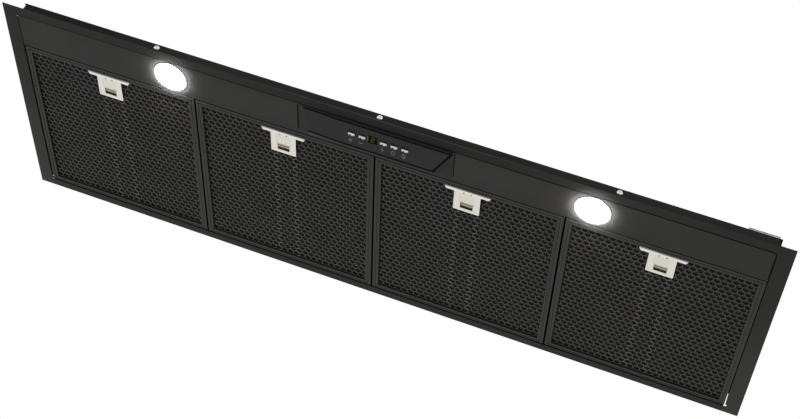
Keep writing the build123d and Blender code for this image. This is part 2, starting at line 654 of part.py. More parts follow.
def lamp_bezel(x):
    """Thin ring under the fascia with a barrel that passes up through it."""
    bore = LENS_RADIUS + SLIP
    with BuildPart() as bezel:
        with BuildSketch(Plane((x, Y_LAMP, Z_TRIM - BEZEL_DROP))):
            Circle(bore + BEZEL_RIM)
        extrude(amount=BEZEL_DROP)
        fillet(bezel.edges().group_by(Axis.Z)[0], BEZEL_DROP / 2)
        with BuildSketch(Plane((x, Y_LAMP, Z_TRIM))):
            Circle(bore + BEZEL_WALL)
        extrude(amount=BARREL_HEIGHT)
        with BuildSketch(Plane((x, Y_LAMP, Z_TRIM - BEZEL_DROP))):
            Circle(bore)
        extrude(amount=BEZEL_DROP + BARREL_HEIGHT, mode=Mode.SUBTRACT)
    return bezel.part


def lamp_lens(x):
    """Frosted disc, set just inside the rim of its bezel."""
    with BuildPart() as lens:
        with BuildSketch(Plane((x, Y_LAMP, Z_TRIM - BEZEL_DROP / 2))):
            Circle(LENS_RADIUS)
        extrude(amount=LENS_THICKNESS)
        fillet(lens.edges().group_by(Axis.Z)[0], BEZEL_DROP / 2)
    return lens.part


def lamp_body(x):
    """Finned lamp body that stands on the lens inside the barrel."""
    start = Z_TRIM - BEZEL_DROP / 2 + LENS_THICKNESS
    with BuildPart() as body:
        with BuildSketch(Plane((x, Y_LAMP, start))):
            Circle(LENS_RADIUS)
        extrude(amount=LAMP_BODY_HEIGHT)
        for slot in range(FIN_SLOTS):
            slot_base = start + LAMP_BODY_HEIGHT - FIN_SLOT - FIN_PITCH * (slot + 1)
            with BuildSketch(Plane((x, Y_LAMP, slot_base))):
                Circle(LENS_RADIUS)
                Circle(LENS_RADIUS - FIN_DEPTH, mode=Mode.SUBTRACT)
            extrude(amount=FIN_SLOT, mode=Mode.SUBTRACT)
    return body.part


for side, x_lamp in LAMP_CENTRES.items():
    save(lamp_bezel(x_lamp), f"lamp_{side}_bezel")
    save(lamp_lens(x_lamp), f"lamp_{side}_lens")
    save(lamp_body(x_lamp), f"lamp_{side}_body")


# ---- Control panel, board, display and keys -----------------------------------------------


def boss_outline(left, front_right, rear_right, sides, corner):
    """Four-sided face with a slanted right end and rounded corners, between its front and rear."""
    front, rear = sides
    with BuildSketch() as outline:
        with BuildLine():
            FilletPolyline(
                (left, front),
                (front_right, front),
                (rear_right, rear),
                (left, rear),
                radius=corner,
                close=True,
            )
        make_face()
    return outline.sketch


with BuildPart() as control_panel:
    with BuildSketch(Plane.XY.offset(Z_TRIM)):
        base_sides = (Y_PANEL, Y_PANEL + BOSS_DEPTH)
        add(boss_outline(-PANEL_LEFT, BOSS_FRONT_RIGHT, BOSS_REAR_RIGHT, base_sides, BOSS_BASE_CORNER))
    with BuildSketch(Plane.XY.offset(Z_BOSS)):
        face_sides = (FACE_FRONT, FACE_REAR)
        add(boss_outline(FACE_LEFT, FACE_FRONT_RIGHT, FACE_REAR_RIGHT, face_sides, BOSS_FACE_CORNER))
    loft()
    with BuildSketch(Plane.XY.offset(Z_TRIM - PANEL_PLATE)):
        with Locations(((PANEL_RIGHT - PANEL_LEFT) / 2, Y_PANEL + PANEL_PLATE_DEPTH / 2)):
            RectangleRounded(PANEL_LEFT + PANEL_RIGHT, PANEL_PLATE_DEPTH, PANEL_PLATE_CORNER)
    extrude(amount=PANEL_PLATE)
    with BuildSketch(Plane.XY.offset(Z_BOSS + BOSS_WALL)):
        add(
            boss_outline(
                FACE_LEFT + BOSS_HOLLOW_INSET,
                FACE_FRONT_RIGHT - 2 * BOSS_HOLLOW_INSET,
                FACE_REAR_RIGHT - BOSS_HOLLOW_INSET,
                (FACE_FRONT + BOSS_HOLLOW_INSET, FACE_REAR - BOSS_HOLLOW_INSET),
                BOSS_FACE_CORNER,
            )
        )
    extrude(amount=BOSS_DROP, mode=Mode.SUBTRACT)
    board_left = FACE_LEFT + BOARD_END_INSET
    board_right = FACE_REAR_RIGHT - BOARD_END_INSET
    board_front = FACE_FRONT + BOARD_SIDE_INSET
    board_rear = FACE_REAR - BOARD_SIDE_INSET
    with BuildSketch(Plane.XY.offset(Z_BOSS + BOSS_WALL)):
        with Locations(((board_left + board_right) / 2, (board_front + board_rear) / 2)):
            with GridLocations(
                board_right - board_left - 3 * POST_RADIUS, board_rear - board_front - 3 * POST_RADIUS, 2, 2
            ):
                Circle(POST_RADIUS)
    extrude(amount=Z_BOARD - Z_BOSS - BOSS_WALL)
    with BuildSketch(Plane.XY.offset(Z_BOSS)):
        with Locations(*[(x, Y_KEYS) for x in KEY_CENTRES]):
            RectangleRounded(KEY_WIDTH + 2 * SLIP, KEY_DEPTH + 2 * SLIP, KEY_CORNER)
        with Locations((KEY_SLOTS[DISPLAY_INDEX], Y_KEYS)):
            Rectangle(DISPLAY_WIDTH, DISPLAY_DEPTH)
    extrude(amount=BOSS_WALL, mode=Mode.SUBTRACT)
save(control_panel.part, "control_panel")

with BuildPart() as control_board:
    with BuildSketch(Plane.XY.offset(Z_BOARD)):
        with Locations(((board_left + board_right) / 2, (board_front + board_rear) / 2)):
            Rectangle(board_right - board_left, board_rear - board_front)
    extrude(amount=BOARD_THICKNESS)
save(control_board.part, "control_board")

with BuildPart() as display_module:
    with BuildSketch(Plane.XY.offset(Z_BOSS + DISPLAY_SET_BACK)):
        with Locations((KEY_SLOTS[DISPLAY_INDEX], Y_KEYS)):
            Rectangle(DISPLAY_WIDTH - SLIP, DISPLAY_DEPTH - SLIP)
    extrude(amount=Z_BOARD - Z_BOSS - DISPLAY_SET_BACK)
save(display_module.part, "display_module")

with BuildPart() as key_switches:
    with BuildSketch(Plane.XY.offset(Z_BOARD - SWITCH_HEIGHT)):
        with Locations(*[(x, Y_KEYS) for x in KEY_CENTRES]):
            Rectangle(SWITCH_SIZE, SWITCH_SIZE)
    extrude(amount=SWITCH_HEIGHT)
save(key_switches.part, "key_switches")


def button(x):
    """Pillow-shaped cap with an inner flange that holds it in, and a stem under its switch."""
    flange_base = Z_BOSS + BOSS_WALL
    stem_top = Z_BOARD - SWITCH_HEIGHT - KEY_TRAVEL - SLIP
    with BuildPart() as cap:
        with BuildSketch(Plane((x, Y_KEYS, Z_BOSS - KEY_CROWN))):
            RectangleRounded(KEY_WIDTH, KEY_DEPTH, KEY_CORNER)
        extrude(amount=KEY_CROWN + BOSS_WALL)
        fillet(cap.edges().group_by(Axis.Z)[0], KEY_ROUND)
        with BuildSketch(Plane((x, Y_KEYS, flange_base))):
            Rectangle(KEY_WIDTH + 2 * KEY_FLANGE, KEY_DEPTH + 2 * KEY_FLANGE)
        extrude(amount=KEY_FLANGE_THICKNESS)
        with BuildSketch(Plane((x, Y_KEYS, flange_base))):
            Circle(KEY_STEM_RADIUS)
        extrude(amount=stem_top - flange_base)
    return cap.part


for number, x_key in enumerate(KEY_CENTRES, start=1):
    save(button(x_key), f"button_{number}")


# ---- Filter hinge rail --------------------------------------------------------------------

EAR_CENTRES = [x + end * EAR_SPACING / 2 for x in FILTER_CENTRES for end in (-1, 1)]

with BuildPart() as hinge_rail:
    rail_length = FILTER_COUNT * FILTER_PITCH - 2 * FILTER_GAP
    with BuildSketch(Plane.XY.offset(Z_TRIM + RAIL_HEIGHT)):
        with Locations((0, Y_OPEN_REAR - RAIL_LEG / 2)):
            Rectangle(rail_length, RAIL_LEG)
    extrude(amount=SHEET)
    with BuildSketch(Plane.XY.offset(Z_TRIM + RAIL_HEIGHT)):
        with Locations((0, Y_OPEN_REAR - SHEET / 2)):
            Rectangle(rail_length, SHEET)
    extrude(amount=RAIL_UPRIGHT)
save(hinge_rail.part, "hinge_rail")

with BuildPart() as hinge_ears:
    for x in EAR_CENTRES:
        with BuildSketch(Plane.YZ.offset(x - EAR_THICKNESS / 2)):
            with Locations((Y_HINGE, Z_HINGE)):
                Circle(EAR_RADIUS)
            with Locations((Y_HINGE, (Z_HINGE + Z_TRIM + RAIL_HEIGHT) / 2)):
                Rectangle(2 * EAR_RADIUS, RAIL_HEIGHT - HINGE_HEIGHT)
            with Locations((Y_HINGE, Z_HINGE)):
                Circle(HINGE_PIN_RADIUS + HINGE_RUNNING, mode=Mode.SUBTRACT)
        extrude(amount=EAR_THICKNESS)
save(hinge_ears.part, "hinge_ears")


# ---- Grease filters -----------------------------------------------------------------------


def filter_frame(x):
    """Rolled frame with a slot for the face and pad, and two hinge pins across rear notches."""
    slot_width = FILTER_WIDTH - 2 * FRAME_WALL
    slot_depth = FILTER_DEPTH - 2 * FRAME_WALL
    slot_height = FILTER_HEIGHT - FACE_SET_BACK - FRAME_FLANGE
    notch_width = EAR_THICKNESS + 2 * NOTCH_SIDE
    notch_radius = EAR_RADIUS + EAR_CLEARANCE
    groove_inset = FRAME_WIDTH - FRAME_GROOVE_WIDTH
    with BuildPart() as frame:
        with BuildSketch(Plane((x, Y_FILTER_MID, Z_TRIM))):
            Rectangle(FILTER_WIDTH, FILTER_DEPTH)
            Rectangle(FILTER_WIDTH - 2 * FRAME_WIDTH, FILTER_DEPTH - 2 * FRAME_WIDTH, mode=Mode.SUBTRACT)
        extrude(amount=FILTER_HEIGHT)
        with BuildSketch(Plane((x, Y_FILTER_MID, Z_FACE))):
            Rectangle(slot_width, slot_depth)
        extrude(amount=slot_height, mode=Mode.SUBTRACT)
        with BuildSketch(Plane((x, Y_FILTER_MID, Z_TRIM))):
            Rectangle(FILTER_WIDTH - groove_inset, FILTER_DEPTH - groove_inset)
            Rectangle(
                FILTER_WIDTH - groove_inset - 2 * FRAME_GROOVE_WIDTH,
                FILTER_DEPTH - groove_inset - 2 * FRAME_GROOVE_WIDTH,
                mode=Mode.SUBTRACT,
            )
        extrude(amount=FRAME_GROOVE_DEPTH, mode=Mode.SUBTRACT)
        rear_edge = frame.edges().filter_by(Axis.X).group_by(Axis.Y)[-1].group_by(Axis.Z)[0]
        fillet(rear_edge, REAR_ROUNDING)
        for end in (-1, 1):
            notch_start = x + end * EAR_SPACING / 2 - notch_width / 2
            with BuildSketch(Plane.YZ.offset(notch_start)):
                with Locations((Y_HINGE, Z_HINGE)):
                    Circle(notch_radius)
                with Locations((Y_HINGE, Z_HINGE + FILTER_HEIGHT / 2)):
                    Rectangle(2 * notch_radius, FILTER_HEIGHT)
            extrude(amount=notch_width, mode=Mode.SUBTRACT)
            with BuildSketch(Plane.YZ.offset(notch_start)):
                with Locations((Y_HINGE, Z_HINGE)):
                    Circle(HINGE_PIN_RADIUS)
            extrude(amount=notch_width)
    return frame.part


def filter_sheet(x, base, thickness):
    """Layer that fills the frame's slot, with a cut-out for the latch box."""
    with BuildPart() as layer:
        with BuildSketch(Plane((x, Y_FILTER_MID, base))):
            Rectangle(FILTER_WIDTH - 2 * FRAME_WALL - SLIP, FILTER_DEPTH - 2 * FRAME_WALL - SLIP)
            with Locations((0, Y_LATCH_BOX - Y_FILTER_MID)):
                Rectangle(LATCH_BOX + 2 * SLIP, LATCH_BOX_DEPTH + 2 * SLIP, mode=Mode.SUBTRACT)
        extrude(amount=thickness)
    return layer.part


def latch_plate(x):
    """T-shaped handle plate below the face, with a box above it that holds the slider."""
    front_rail_end = Y_FILTER_FRONT + FRAME_WIDTH
    body_front = front_rail_end + SLIP
    body_rear = Y_LATCH + LATCH_DEPTH
    with BuildPart() as plate:
        with BuildSketch(Plane((x, Y_LATCH, Z_LATCH))):
            with BuildLine():
                Polyline(
                    (-LATCH_BAR / 2, 0),
                    (LATCH_BAR / 2, 0),
                    (LATCH_BAR / 2 - LATCH_BAR_BEVEL, LATCH_BAR_DEPTH),
                    (-LATCH_BAR / 2 + LATCH_BAR_BEVEL, LATCH_BAR_DEPTH),
                    close=True,
                )
            make_face()
            with Locations((0, LATCH_DEPTH / 2)):
                Rectangle(LATCH_BODY, LATCH_DEPTH)
        extrude(amount=LATCH_DROP)
        with BuildSketch(Plane((x, (body_front + body_rear) / 2, Z_TRIM))):
            Rectangle(LATCH_BODY, body_rear - body_front)
        extrude(amount=FACE_SET_BACK)
        upright = plate.edges().filter_by(Axis.Z).group_by(Axis.Y)[-1]
        fillet(upright, LATCH_CORNER)
        with BuildSketch(Plane((x, Y_LATCH_BOX, Z_FACE))):
            Rectangle(LATCH_BOX, LATCH_BOX_DEPTH)
            Rectangle(
                LATCH_BOX - 2 * LATCH_BOX_WALL, LATCH_BOX_DEPTH - 2 * LATCH_BOX_WALL, mode=Mode.SUBTRACT
            )
        extrude(amount=FILTER_HEIGHT - FACE_SET_BACK)
        with BuildSketch(Plane((x, Y_WINDOW, Z_LATCH))):
            Rectangle(WINDOW_WIDTH, WINDOW_DEPTH)
        extrude(amount=LATCH_DROP + FACE_SET_BACK, mode=Mode.SUBTRACT)
        with BuildSketch(Plane((x, Y_LATCH + DOT_INSET, Z_LATCH))):
            with GridLocations(DOT_SPACING, 0, DOT_COUNT, 1):
                Circle(DOT_RADIUS)
        extrude(amount=DOT_SINK, mode=Mode.SUBTRACT)
    return plate.part


def latch_slider(x):
    """Sliding bolt: floor behind the window, finger rib, neck, and the tongue over the rail."""
    pocket_front = Y_LATCH_BOX - LATCH_BOX_DEPTH / 2 + LATCH_BOX_WALL
    pocket_width = LATCH_BOX - 2 * LATCH_BOX_WALL
    floor_base = Z_FACE + SLIP / 2
    tongue_base = Z_FILTER_TOP + SLIP
    tongue_front = Y_FASCIA_REAR + TONGUE_STOP
    neck_front = pocket_front + LATCH_BOX_WALL
    floor_front = neck_front + SLIDER_TRAVEL
    with BuildPart() as slider:
        with BuildSketch(Plane((x, floor_front + SLIDER_FLOOR_DEPTH / 2, floor_base))):
            Rectangle(pocket_width - 2 * SLIP, SLIDER_FLOOR_DEPTH)
        extrude(amount=SLIDER_FLOOR)
        with BuildSketch(Plane((x, Y_WINDOW - RIB_SHIFT, Z_LATCH + RIB_SET_BACK))):
            Rectangle(WINDOW_WIDTH - 2 * SLIP, RIB_THICKNESS)
        extrude(amount=floor_base - Z_LATCH - RIB_SET_BACK)
        with BuildSketch(Plane((x, neck_front + NECK_DEPTH / 2, floor_base))):
            Rectangle(NECK_WIDTH, NECK_DEPTH)
        extrude(amount=tongue_base - floor_base)
        tongue_depth = neck_front + NECK_DEPTH - tongue_front
        with BuildSketch(Plane((x, tongue_front + tongue_depth / 2, tongue_base))):
            Rectangle(NECK_WIDTH, tongue_depth)
        extrude(amount=TONGUE_THICKNESS)
        nose = slider.edges().filter_by(Axis.X).group_by(Axis.Y)[0].group_by(Axis.Z)[-1]
        chamfer(nose, TONGUE_NOSE)
    return slider.part


def latch_spring(x):
    """Compression spring between the slider's floor and the rear wall of the latch box."""
    pocket_front = Y_LATCH_BOX - LATCH_BOX_DEPTH / 2 + LATCH_BOX_WALL
    pocket_rear = Y_LATCH_BOX + LATCH_BOX_DEPTH / 2 - LATCH_BOX_WALL
    slider_rear = pocket_front + LATCH_BOX_WALL + SLIDER_TRAVEL + SLIDER_FLOOR_DEPTH
    room = pocket_rear - slider_rear - SPRING_WIRE - SLIP
    centre_height = Z_FACE + SLIP / 2 + SPRING_RADIUS + SPRING_WIRE / 2
    start = Plane((x, slider_rear + SLIP / 2 + SPRING_WIRE / 2, centre_height), z_dir=(0, 1, 0))
    with BuildPart() as spring:
        with BuildLine(start) as coil:
            Helix(pitch=room / SPRING_TURNS, height=room, radius=SPRING_RADIUS)
        with BuildSketch(Plane(origin=coil.line @ 0, z_dir=coil.line % 0)):
            Circle(SPRING_WIRE / 2)
        sweep(is_frenet=True)
    return spring.part


for number, x_filter in enumerate(FILTER_CENTRES, start=1):
    save(filter_frame(x_filter), f"filter_{number}_frame")
    save(filter_sheet(x_filter, Z_FACE, FACE_THICKNESS), f"filter_{number}_face")
    pad_height = FILTER_HEIGHT - FACE_SET_BACK - FRAME_FLANGE - FACE_THICKNESS
    save(filter_sheet(x_filter, Z_PAD, pad_height), f"filter_{number}_pad")
    save(latch_plate(x_filter), f"latch_{number}_plate")
    save(latch_slider(x_filter), f"latch_{number}_slider")
    save(latch_spring(x_filter), f"latch_{number}_spring")


# ---- Cover screws -------------------------------------------------------------------------

with BuildPart() as cover_screws:
    for level, length, depth, middle in (
        (Z_HOOD_FOOT + SHEET, HOOD_LENGTH + FOOT, HOOD_DEPTH + FOOT, HOOD_MID),
        (Z_HOOD_TOP + SHEET, BOX_LENGTH + FOOT, BOX_DEPTH + FOOT, Y_BOX_MID),
    ):
        with BuildSketch(Plane((0, middle, level))):
            with GridLocations(length / 2, depth, 3, 2):
                Circle(COVER_SCREW_RADIUS)
        extrude(amount=COVER_SCREW_HEIGHT)
save(cover_screws.part, "cover_screws")
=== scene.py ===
"""Looks of a range hood insert: finishes, filter mesh, control cover, keys, screws and the stage.

Everything is in metres, in the frame of the packed solids: +X to the right, +Y to the rear
wall, +Z up towards the duct.
"""
import json
import math

import bmesh
import bpy
from bpy.props import FloatProperty, FloatVectorProperty, IntProperty, PointerProperty
from mathutils import Matrix, Vector

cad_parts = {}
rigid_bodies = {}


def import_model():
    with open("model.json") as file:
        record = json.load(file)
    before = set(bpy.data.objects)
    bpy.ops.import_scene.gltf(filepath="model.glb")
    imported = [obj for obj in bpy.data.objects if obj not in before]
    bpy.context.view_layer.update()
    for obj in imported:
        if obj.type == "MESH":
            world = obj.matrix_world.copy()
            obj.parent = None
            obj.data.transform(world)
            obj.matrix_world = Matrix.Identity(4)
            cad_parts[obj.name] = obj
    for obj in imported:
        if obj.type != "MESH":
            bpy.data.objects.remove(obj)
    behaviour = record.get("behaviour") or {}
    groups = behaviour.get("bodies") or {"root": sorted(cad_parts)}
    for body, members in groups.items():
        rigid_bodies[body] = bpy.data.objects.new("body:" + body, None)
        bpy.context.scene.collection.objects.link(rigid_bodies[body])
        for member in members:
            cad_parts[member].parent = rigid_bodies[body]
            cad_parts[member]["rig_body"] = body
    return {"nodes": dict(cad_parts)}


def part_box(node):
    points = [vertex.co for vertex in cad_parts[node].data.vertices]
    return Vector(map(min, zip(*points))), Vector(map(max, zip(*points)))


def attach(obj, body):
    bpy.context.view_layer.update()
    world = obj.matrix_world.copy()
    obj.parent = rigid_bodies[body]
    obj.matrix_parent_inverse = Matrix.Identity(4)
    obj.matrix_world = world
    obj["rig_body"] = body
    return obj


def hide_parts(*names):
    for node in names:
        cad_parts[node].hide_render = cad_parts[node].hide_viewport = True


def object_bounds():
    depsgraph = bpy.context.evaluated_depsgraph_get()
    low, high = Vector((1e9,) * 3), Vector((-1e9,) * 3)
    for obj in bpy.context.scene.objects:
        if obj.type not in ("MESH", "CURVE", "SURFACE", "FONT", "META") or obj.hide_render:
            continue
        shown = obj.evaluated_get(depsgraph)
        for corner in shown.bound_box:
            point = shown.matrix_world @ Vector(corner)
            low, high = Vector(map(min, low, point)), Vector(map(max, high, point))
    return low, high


bl_info = {
    "name": "Range hood insert",
    "version": (1, 0, 0),
    "blender": (4, 5, 0),
    "location": "3D View > Sidebar > Hood",
    "description": "Builds the visible pieces and finishes of a range hood insert",
    "category": "Object",
}

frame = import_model()
CAD_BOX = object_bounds()

MM = 0.001
FILTERS = (1, 2, 3, 4)
KEYS = (1, 2, 3, 4, 5)
SIDES = ("left", "right")
X_AXIS, Y_AXIS, Z_AXIS = Vector((1, 0, 0)), Vector((0, 1, 0)), Vector((0, 0, 1))
TO_FRONT = Matrix.Rotation(math.radians(90), 4, "X")


# ---- Sizes and colours that a user may change ------------------------------------------------


def length(name, description, millimetres):
    """One size, given in millimetres and stored in metres."""
    value = millimetres * MM
    return FloatProperty(name=name, description=description, default=value, unit="LENGTH")


def amount(name, description, value, unit="NONE"):
    """One number that isn't below 0."""
    return FloatProperty(name=name, description=description, default=value, min=0.0, unit=unit)


def colour(name, description, value):
    """One linear colour."""
    return FloatVectorProperty(
        name=name, description=description, default=value, size=3, subtype="COLOR", min=0.0, max=1.0
    )


class HoodFinishes(bpy.types.PropertyGroup):
    """Base colours of the hood's finishes."""

    trim: colour("Trim", "Powder coat of the trim frame and fascia", (0.0161, 0.0157, 0.0149))
    filter: colour("Filter", "Coating of the filter frames", (0.0150, 0.0147, 0.0138))
    mesh: colour("Mesh", "Coating of the honeycomb layers", (0.043, 0.0415, 0.0395))
    panel: colour("Panel", "Moulded control cover", (0.0148, 0.0148, 0.0152))
    ivory: colour("Ivory", "Latch plates", (0.575, 0.56, 0.495))
    bolt: colour("Bolt", "Latch bolts behind the window", (0.36, 0.29, 0.205))
    zinc: colour("Zinc", "Galvanised sheet", (0.45, 0.455, 0.46))
    housing: colour("Housing", "Powder coat of the hood and motor box", (0.020, 0.0195, 0.019))
    moulded: colour("Moulded", "Black moulded parts", (0.014, 0.014, 0.0145))


class HoodMesh(bpy.types.PropertyGroup):
    """Sizes of the honeycomb layers in each grease filter."""

    pitch: length("Pitch", "Distance between neighbouring holes", 10.2)
    hole: length("Hole", "Width of one hole in the lower layer", 9.1)
    rim: length("Rim", "Turned-in rim of a hole", 0.25)
    inner_hole: length("Inner hole", "Width of one hole in the layers behind", 8.4)
    inner_gap: length("Inner gap", "Space between the lower layer and the next", 1.3)
    layer: length("Layer", "Thickness of one inner layer", 0.5)
    core: length("Core", "Thickness of the dense mesh in the middle", 1.6)
    core_gap: length("Core gap", "Space between the dense mesh and the upper layer", 0.2)


class HoodFilters(bpy.types.PropertyGroup):
    """Edges and seams of the filter frames."""

    edge: length("Edge", "Rounding of the frame's edges", 0.35)
    seam: length("Seam", "Width of the mitre seams in the corners", 0.3)
    band: length("Band", "Width of the frame, which a seam crosses", 9.5)
    corner_gap: length("Corner gap", "From the frame's corner to the start of a seam", 2.0)
    proud: length("Proud", "How far a thin mark stands off its surface", 0.02)


class HoodLatches(bpy.types.PropertyGroup):
    """Details of the latch plates."""

    edge: length("Edge", "Rounding of the plate's edges", 0.35)
    bolt_edge: length("Bolt edge", "Rounding of the bolt's edges", 0.2)
    rim: length("Rim", "Raised rim at the plate's sides", 1.3)
    rear_rim: length("Rear rim", "Raised rim at the plate's rear", 3.4)
    sink: length("Sink", "Depth of the plate's middle below its rim", 0.35)
    panel_width: length("Panel width", "Sunk middle panel in front of the window", 23.0)
    panel_sink: length("Panel sink", "Depth of that panel", 0.45)
    bar: length("Bar", "Depth of the front bar, behind which the plate is sunk", 5.1)
    window_inset: length("Window inset", "From the plate's front to its window", 26.0)
    window_width: length("Window width", "Width of the window", 19.4)
    window_depth: length("Window depth", "Depth of the window", 11.5)
    # The window shadow is a painted shadow strip, and each dot is painted shade over a small dent.
    sill: length("Sill", "Depth of the dark sill at the window's rear", 0.25)
    sill_height: length("Sill height", "Height of that sill", 2.9)
    dot_radius: length("Dot radius", "Radius of a dark dot behind the front bar", 1.15)
    dot_spacing: length("Dot spacing", "Distance between the two dots", 11.0)
    dot_inset: length("Dot inset", "From the plate's front to the dots", 4.6)
    lip: length("Lip", "Height of the plate's edge before it tapers inwards", 0.4)
    front_taper: length("Front taper", "How far the front wall leans back", 4.5)
    side_taper: length("Side taper", "How far the side walls lean in", 4.0)


class HoodControls(bpy.types.PropertyGroup):
    """Control cover, keys, symbols and display."""

    cover_edge: length("Cover edge", "Rounding of the cover's edges", 0.6)
    slope_front: length("Slope front", "How far the face's left end moves out at the front", 3.5)
    slope_rear: length("Slope rear", "How far the face's left end moves in at the rear", 5.0)
    bend: length("Bend", "How far left of the middle the face starts to fall back", 48.0)
    fall: length("Fall", "How far the face has fallen back at its left end", 2.4)
    rear_reach: length("Rear reach", "How far the face's rear edge moves back", 4.0)
    # The outline is a strip of painted shade round the cover's face.
    outline: length("Outline", "Width of the dark edge round the face", 3.2)
    outline_proud: length("Outline proud", "How far a thin dark line stands off its surface", 0.03)
    joint_left: length("Left joint", "Width of the joint at the cover's left end", 2.0)
    joint_right: length("Right joint", "Width of the joint at the cover's right end", 1.2)
    key_foot: length("Key foot", "How far a key's sides stand off the cover's face", 0.3)
    key_sink: length("Key sink", "How far a key's crown stays behind its plating", 0.7)
    key_lean: length("Key lean", "How far each step of a key's crown moves forward", 0.28)
    symbol: length("Symbol", "Width of a symbol", 5.6)
    symbol_stretch: amount("Symbol stretch", "Depth of a symbol by its width", 1.5)
    stroke: length("Stroke", "Stroke of a symbol", 0.7)
    symbol_inset: length("Symbol inset", "From the keys' middle to the symbols' middle", 13.8)
    symbol_shift: length("Symbol shift", "Sideways shift of a symbol from its key", -1.5)
    digit_height: length("Digit height", "Height of the display's digit", 9.0)
    digit_width: length("Digit width", "Width of the display's digit", 5.2)
    digit_stroke: length("Digit stroke", "Stroke of the digit", 1.25)


class HoodLamps(bpy.types.PropertyGroup):
    """Lamp glasses."""

    edge: length("Edge", "Rounding of the bezel's edges", 0.1)
    lens_radius: length("Lens radius", "Radius of a lamp glass", 25.3)
    dome: length("Dome", "Rise of the glass towards its middle", 0.3)
    glow: amount("Glow", "Brightness of the lit glass", 1.6)
    halo: amount("Halo", "Light spilt on the fascia, in watts", 0.54, "POWER")
    halo_drop: length("Halo drop", "Distance of that light below the glass", 6.0)
    halo_radius: length("Halo radius", "Radius of that light", 25.0)


class HoodFasteners(bpy.types.PropertyGroup):
    """Screw heads."""

    head_radius: length("Head radius", "Pan head of a front screw", 4.5)
    head_height: length("Head height", "Height of a pan head", 2.8)
    shank_radius: length("Shank radius", "Shank of a front screw", 2.0)
    shank: length("Shank", "Length of that shank", 3.0)
    recess: length("Recess", "Half the length of the cross recess", 2.2)
    recess_width: length("Recess width", "Width of the cross recess", 0.9)
    recess_depth: length("Recess depth", "Depth of the cross recess", 1.4)
    hex_radius: length("Hex radius", "Corner radius of a cover screw's head", 2.6)
    washer_radius: length("Washer radius", "Radius of a cover screw's washer face", 3.2)
    washer: length("Washer", "Thickness of that washer face", 0.5)
    cover_height: length("Cover height", "Height of a cover screw's head", 2.2)
    inset: length("Inset", "From a foot's corner to its cover screw", 4.0)


class HoodHousing(bpy.types.PropertyGroup):
    """Trim and sheet-metal details."""

    edge: length("Edge", "Rounding of the housing's edges", 0.3)
    terminal_edge: length("Terminal edge", "Rounding of the terminal box's edges", 0.25)
    trim_edge: length("Trim edge", "Rounding of the trim's edges", 0.25)
    corner: length("Corner", "Radius of the fascia's right corner", 5.0)
    seam: length("Seam", "Width of the joint at the fascia's right end", 1.9)
    side_joint: length("Side joint", "Width of the joint along the opening's left side", 1.3)
    seam_left: length("Seam at left", "Width of the joint at the fascia's left end", 0.45)
    proud: length("Proud", "How far a thin mark stands off its surface", 0.03)
    bead_width: length("Bead width", "Width of a pressed bead", 9.0)
    bead_height: length("Bead height", "Height of a pressed bead", 1.4)
    bead_length: length("Bead length", "Length of a pressed bead", 240.0)
    bead_spacing: length("Bead spacing", "Distance between beads", 62.0)
    beads: IntProperty(name="Beads", description="Beads on each half of the hood", default=3, min=1)
    vent_radius: length("Vent radius", "Radius of a vent in the terminal box", 0.75)
    vent_pitch: length("Vent pitch", "Distance between vents", 2.6)
    vents: IntProperty(name="Vents", description="Vents in one row", default=16, min=1)


class HoodStage(bpy.types.PropertyGroup):
    """Floor, lights and camera."""

    floor_drop: length("Floor drop", "Height of the floor below the hood", 6000.0)
    floor_size: length("Floor size", "Edge of the floor", 120000.0)
    ambient: amount("Ambient", "Soft light from all round", 0.42)
    key: amount("Key", "Power of the softbox below, in watts", 200.0, "POWER")
    top: amount("Top", "Power of the softbox above, in watts", 14.0, "POWER")
    lens: amount("Lens", "Focal length in millimetres", 68.05, "CAMERA")


# ---- Small tools for meshes and pieces -------------------------------------------------------


def sizes(name):
    """The scene's property group of that name."""
    return getattr(bpy.context.scene, "hood_" + name)


def mm(x, y, z):
    """A vector given in millimetres."""
    return Vector((x * MM, y * MM, z * MM))


def extent(node):
    """Lower corner, upper corner and middle of a solid's box."""
    low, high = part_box(node)
    return low, high, (low + high) / 2


def link_object(name, data):
    """New object in the scene."""
    item = bpy.data.objects.new(name, data)
    bpy.context.scene.collection.objects.link(item)
    return item


def mesh_object(name, bm):
    """New object that holds a finished mesh."""
    mesh = bpy.data.meshes.new(name)
    bm.to_mesh(mesh)
    bm.free()
    return link_object(name, mesh)


def piece_from(bm, name, finish, body="housing", replaced=(), sharpest=None):
    """Make a mesh into a piece that rides on a body, shaded smooth up to the given angle."""
    piece = mesh_object(name, bm)
    piece.data.materials.append(bpy.data.materials[finish])
    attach(piece, body)
    if replaced:
        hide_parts(*replaced)
    if sharpest:
        shade_by_area(piece, sharpest)
    return piece


def shade_by_area(piece, sharpest):
    """Smooth shading that keeps broad flats flat and hard edges hard."""
    piece.data.polygons.foreach_set("use_smooth", [True] * len(piece.data.polygons))
    piece.data.set_sharp_from_angle(angle=math.radians(sharpest))
    weighted = piece.modifiers.new("Weighted", "WEIGHTED_NORMAL")
    weighted.keep_sharp = True
    weighted.weight = 90


def solid_copy(node):
    """Merged copy of a solid's mesh, with its flat faces made whole."""
    bm = bmesh.new()
    bm.from_mesh(frame["nodes"][node].data)
    bmesh.ops.remove_doubles(bm, verts=bm.verts, dist=0.002 * MM)
    bmesh.ops.dissolve_limit(bm, angle_limit=math.radians(0.5), verts=bm.verts, edges=bm.edges)
    return bm


def round_off(bm, geom, radius, segments, affect="EDGES", clamped=False):
    """Round the given edges or corners."""
    bmesh.ops.bevel(
        bm, geom=geom, offset=radius, offset_type="OFFSET", segments=segments, profile=0.5,
        affect=affect, clamp_overlap=clamped, material=-1,
    )


def ease_edges(bm, width, sharpest=50.0, segments=2):
    """Round every edge that turns by more than the given angle."""
    least = math.radians(sharpest)
    sharp = [e for e in bm.edges if e.is_manifold and e.calc_face_angle() > least]
    round_off(bm, sharp, width, segments, clamped=True)
    return bm


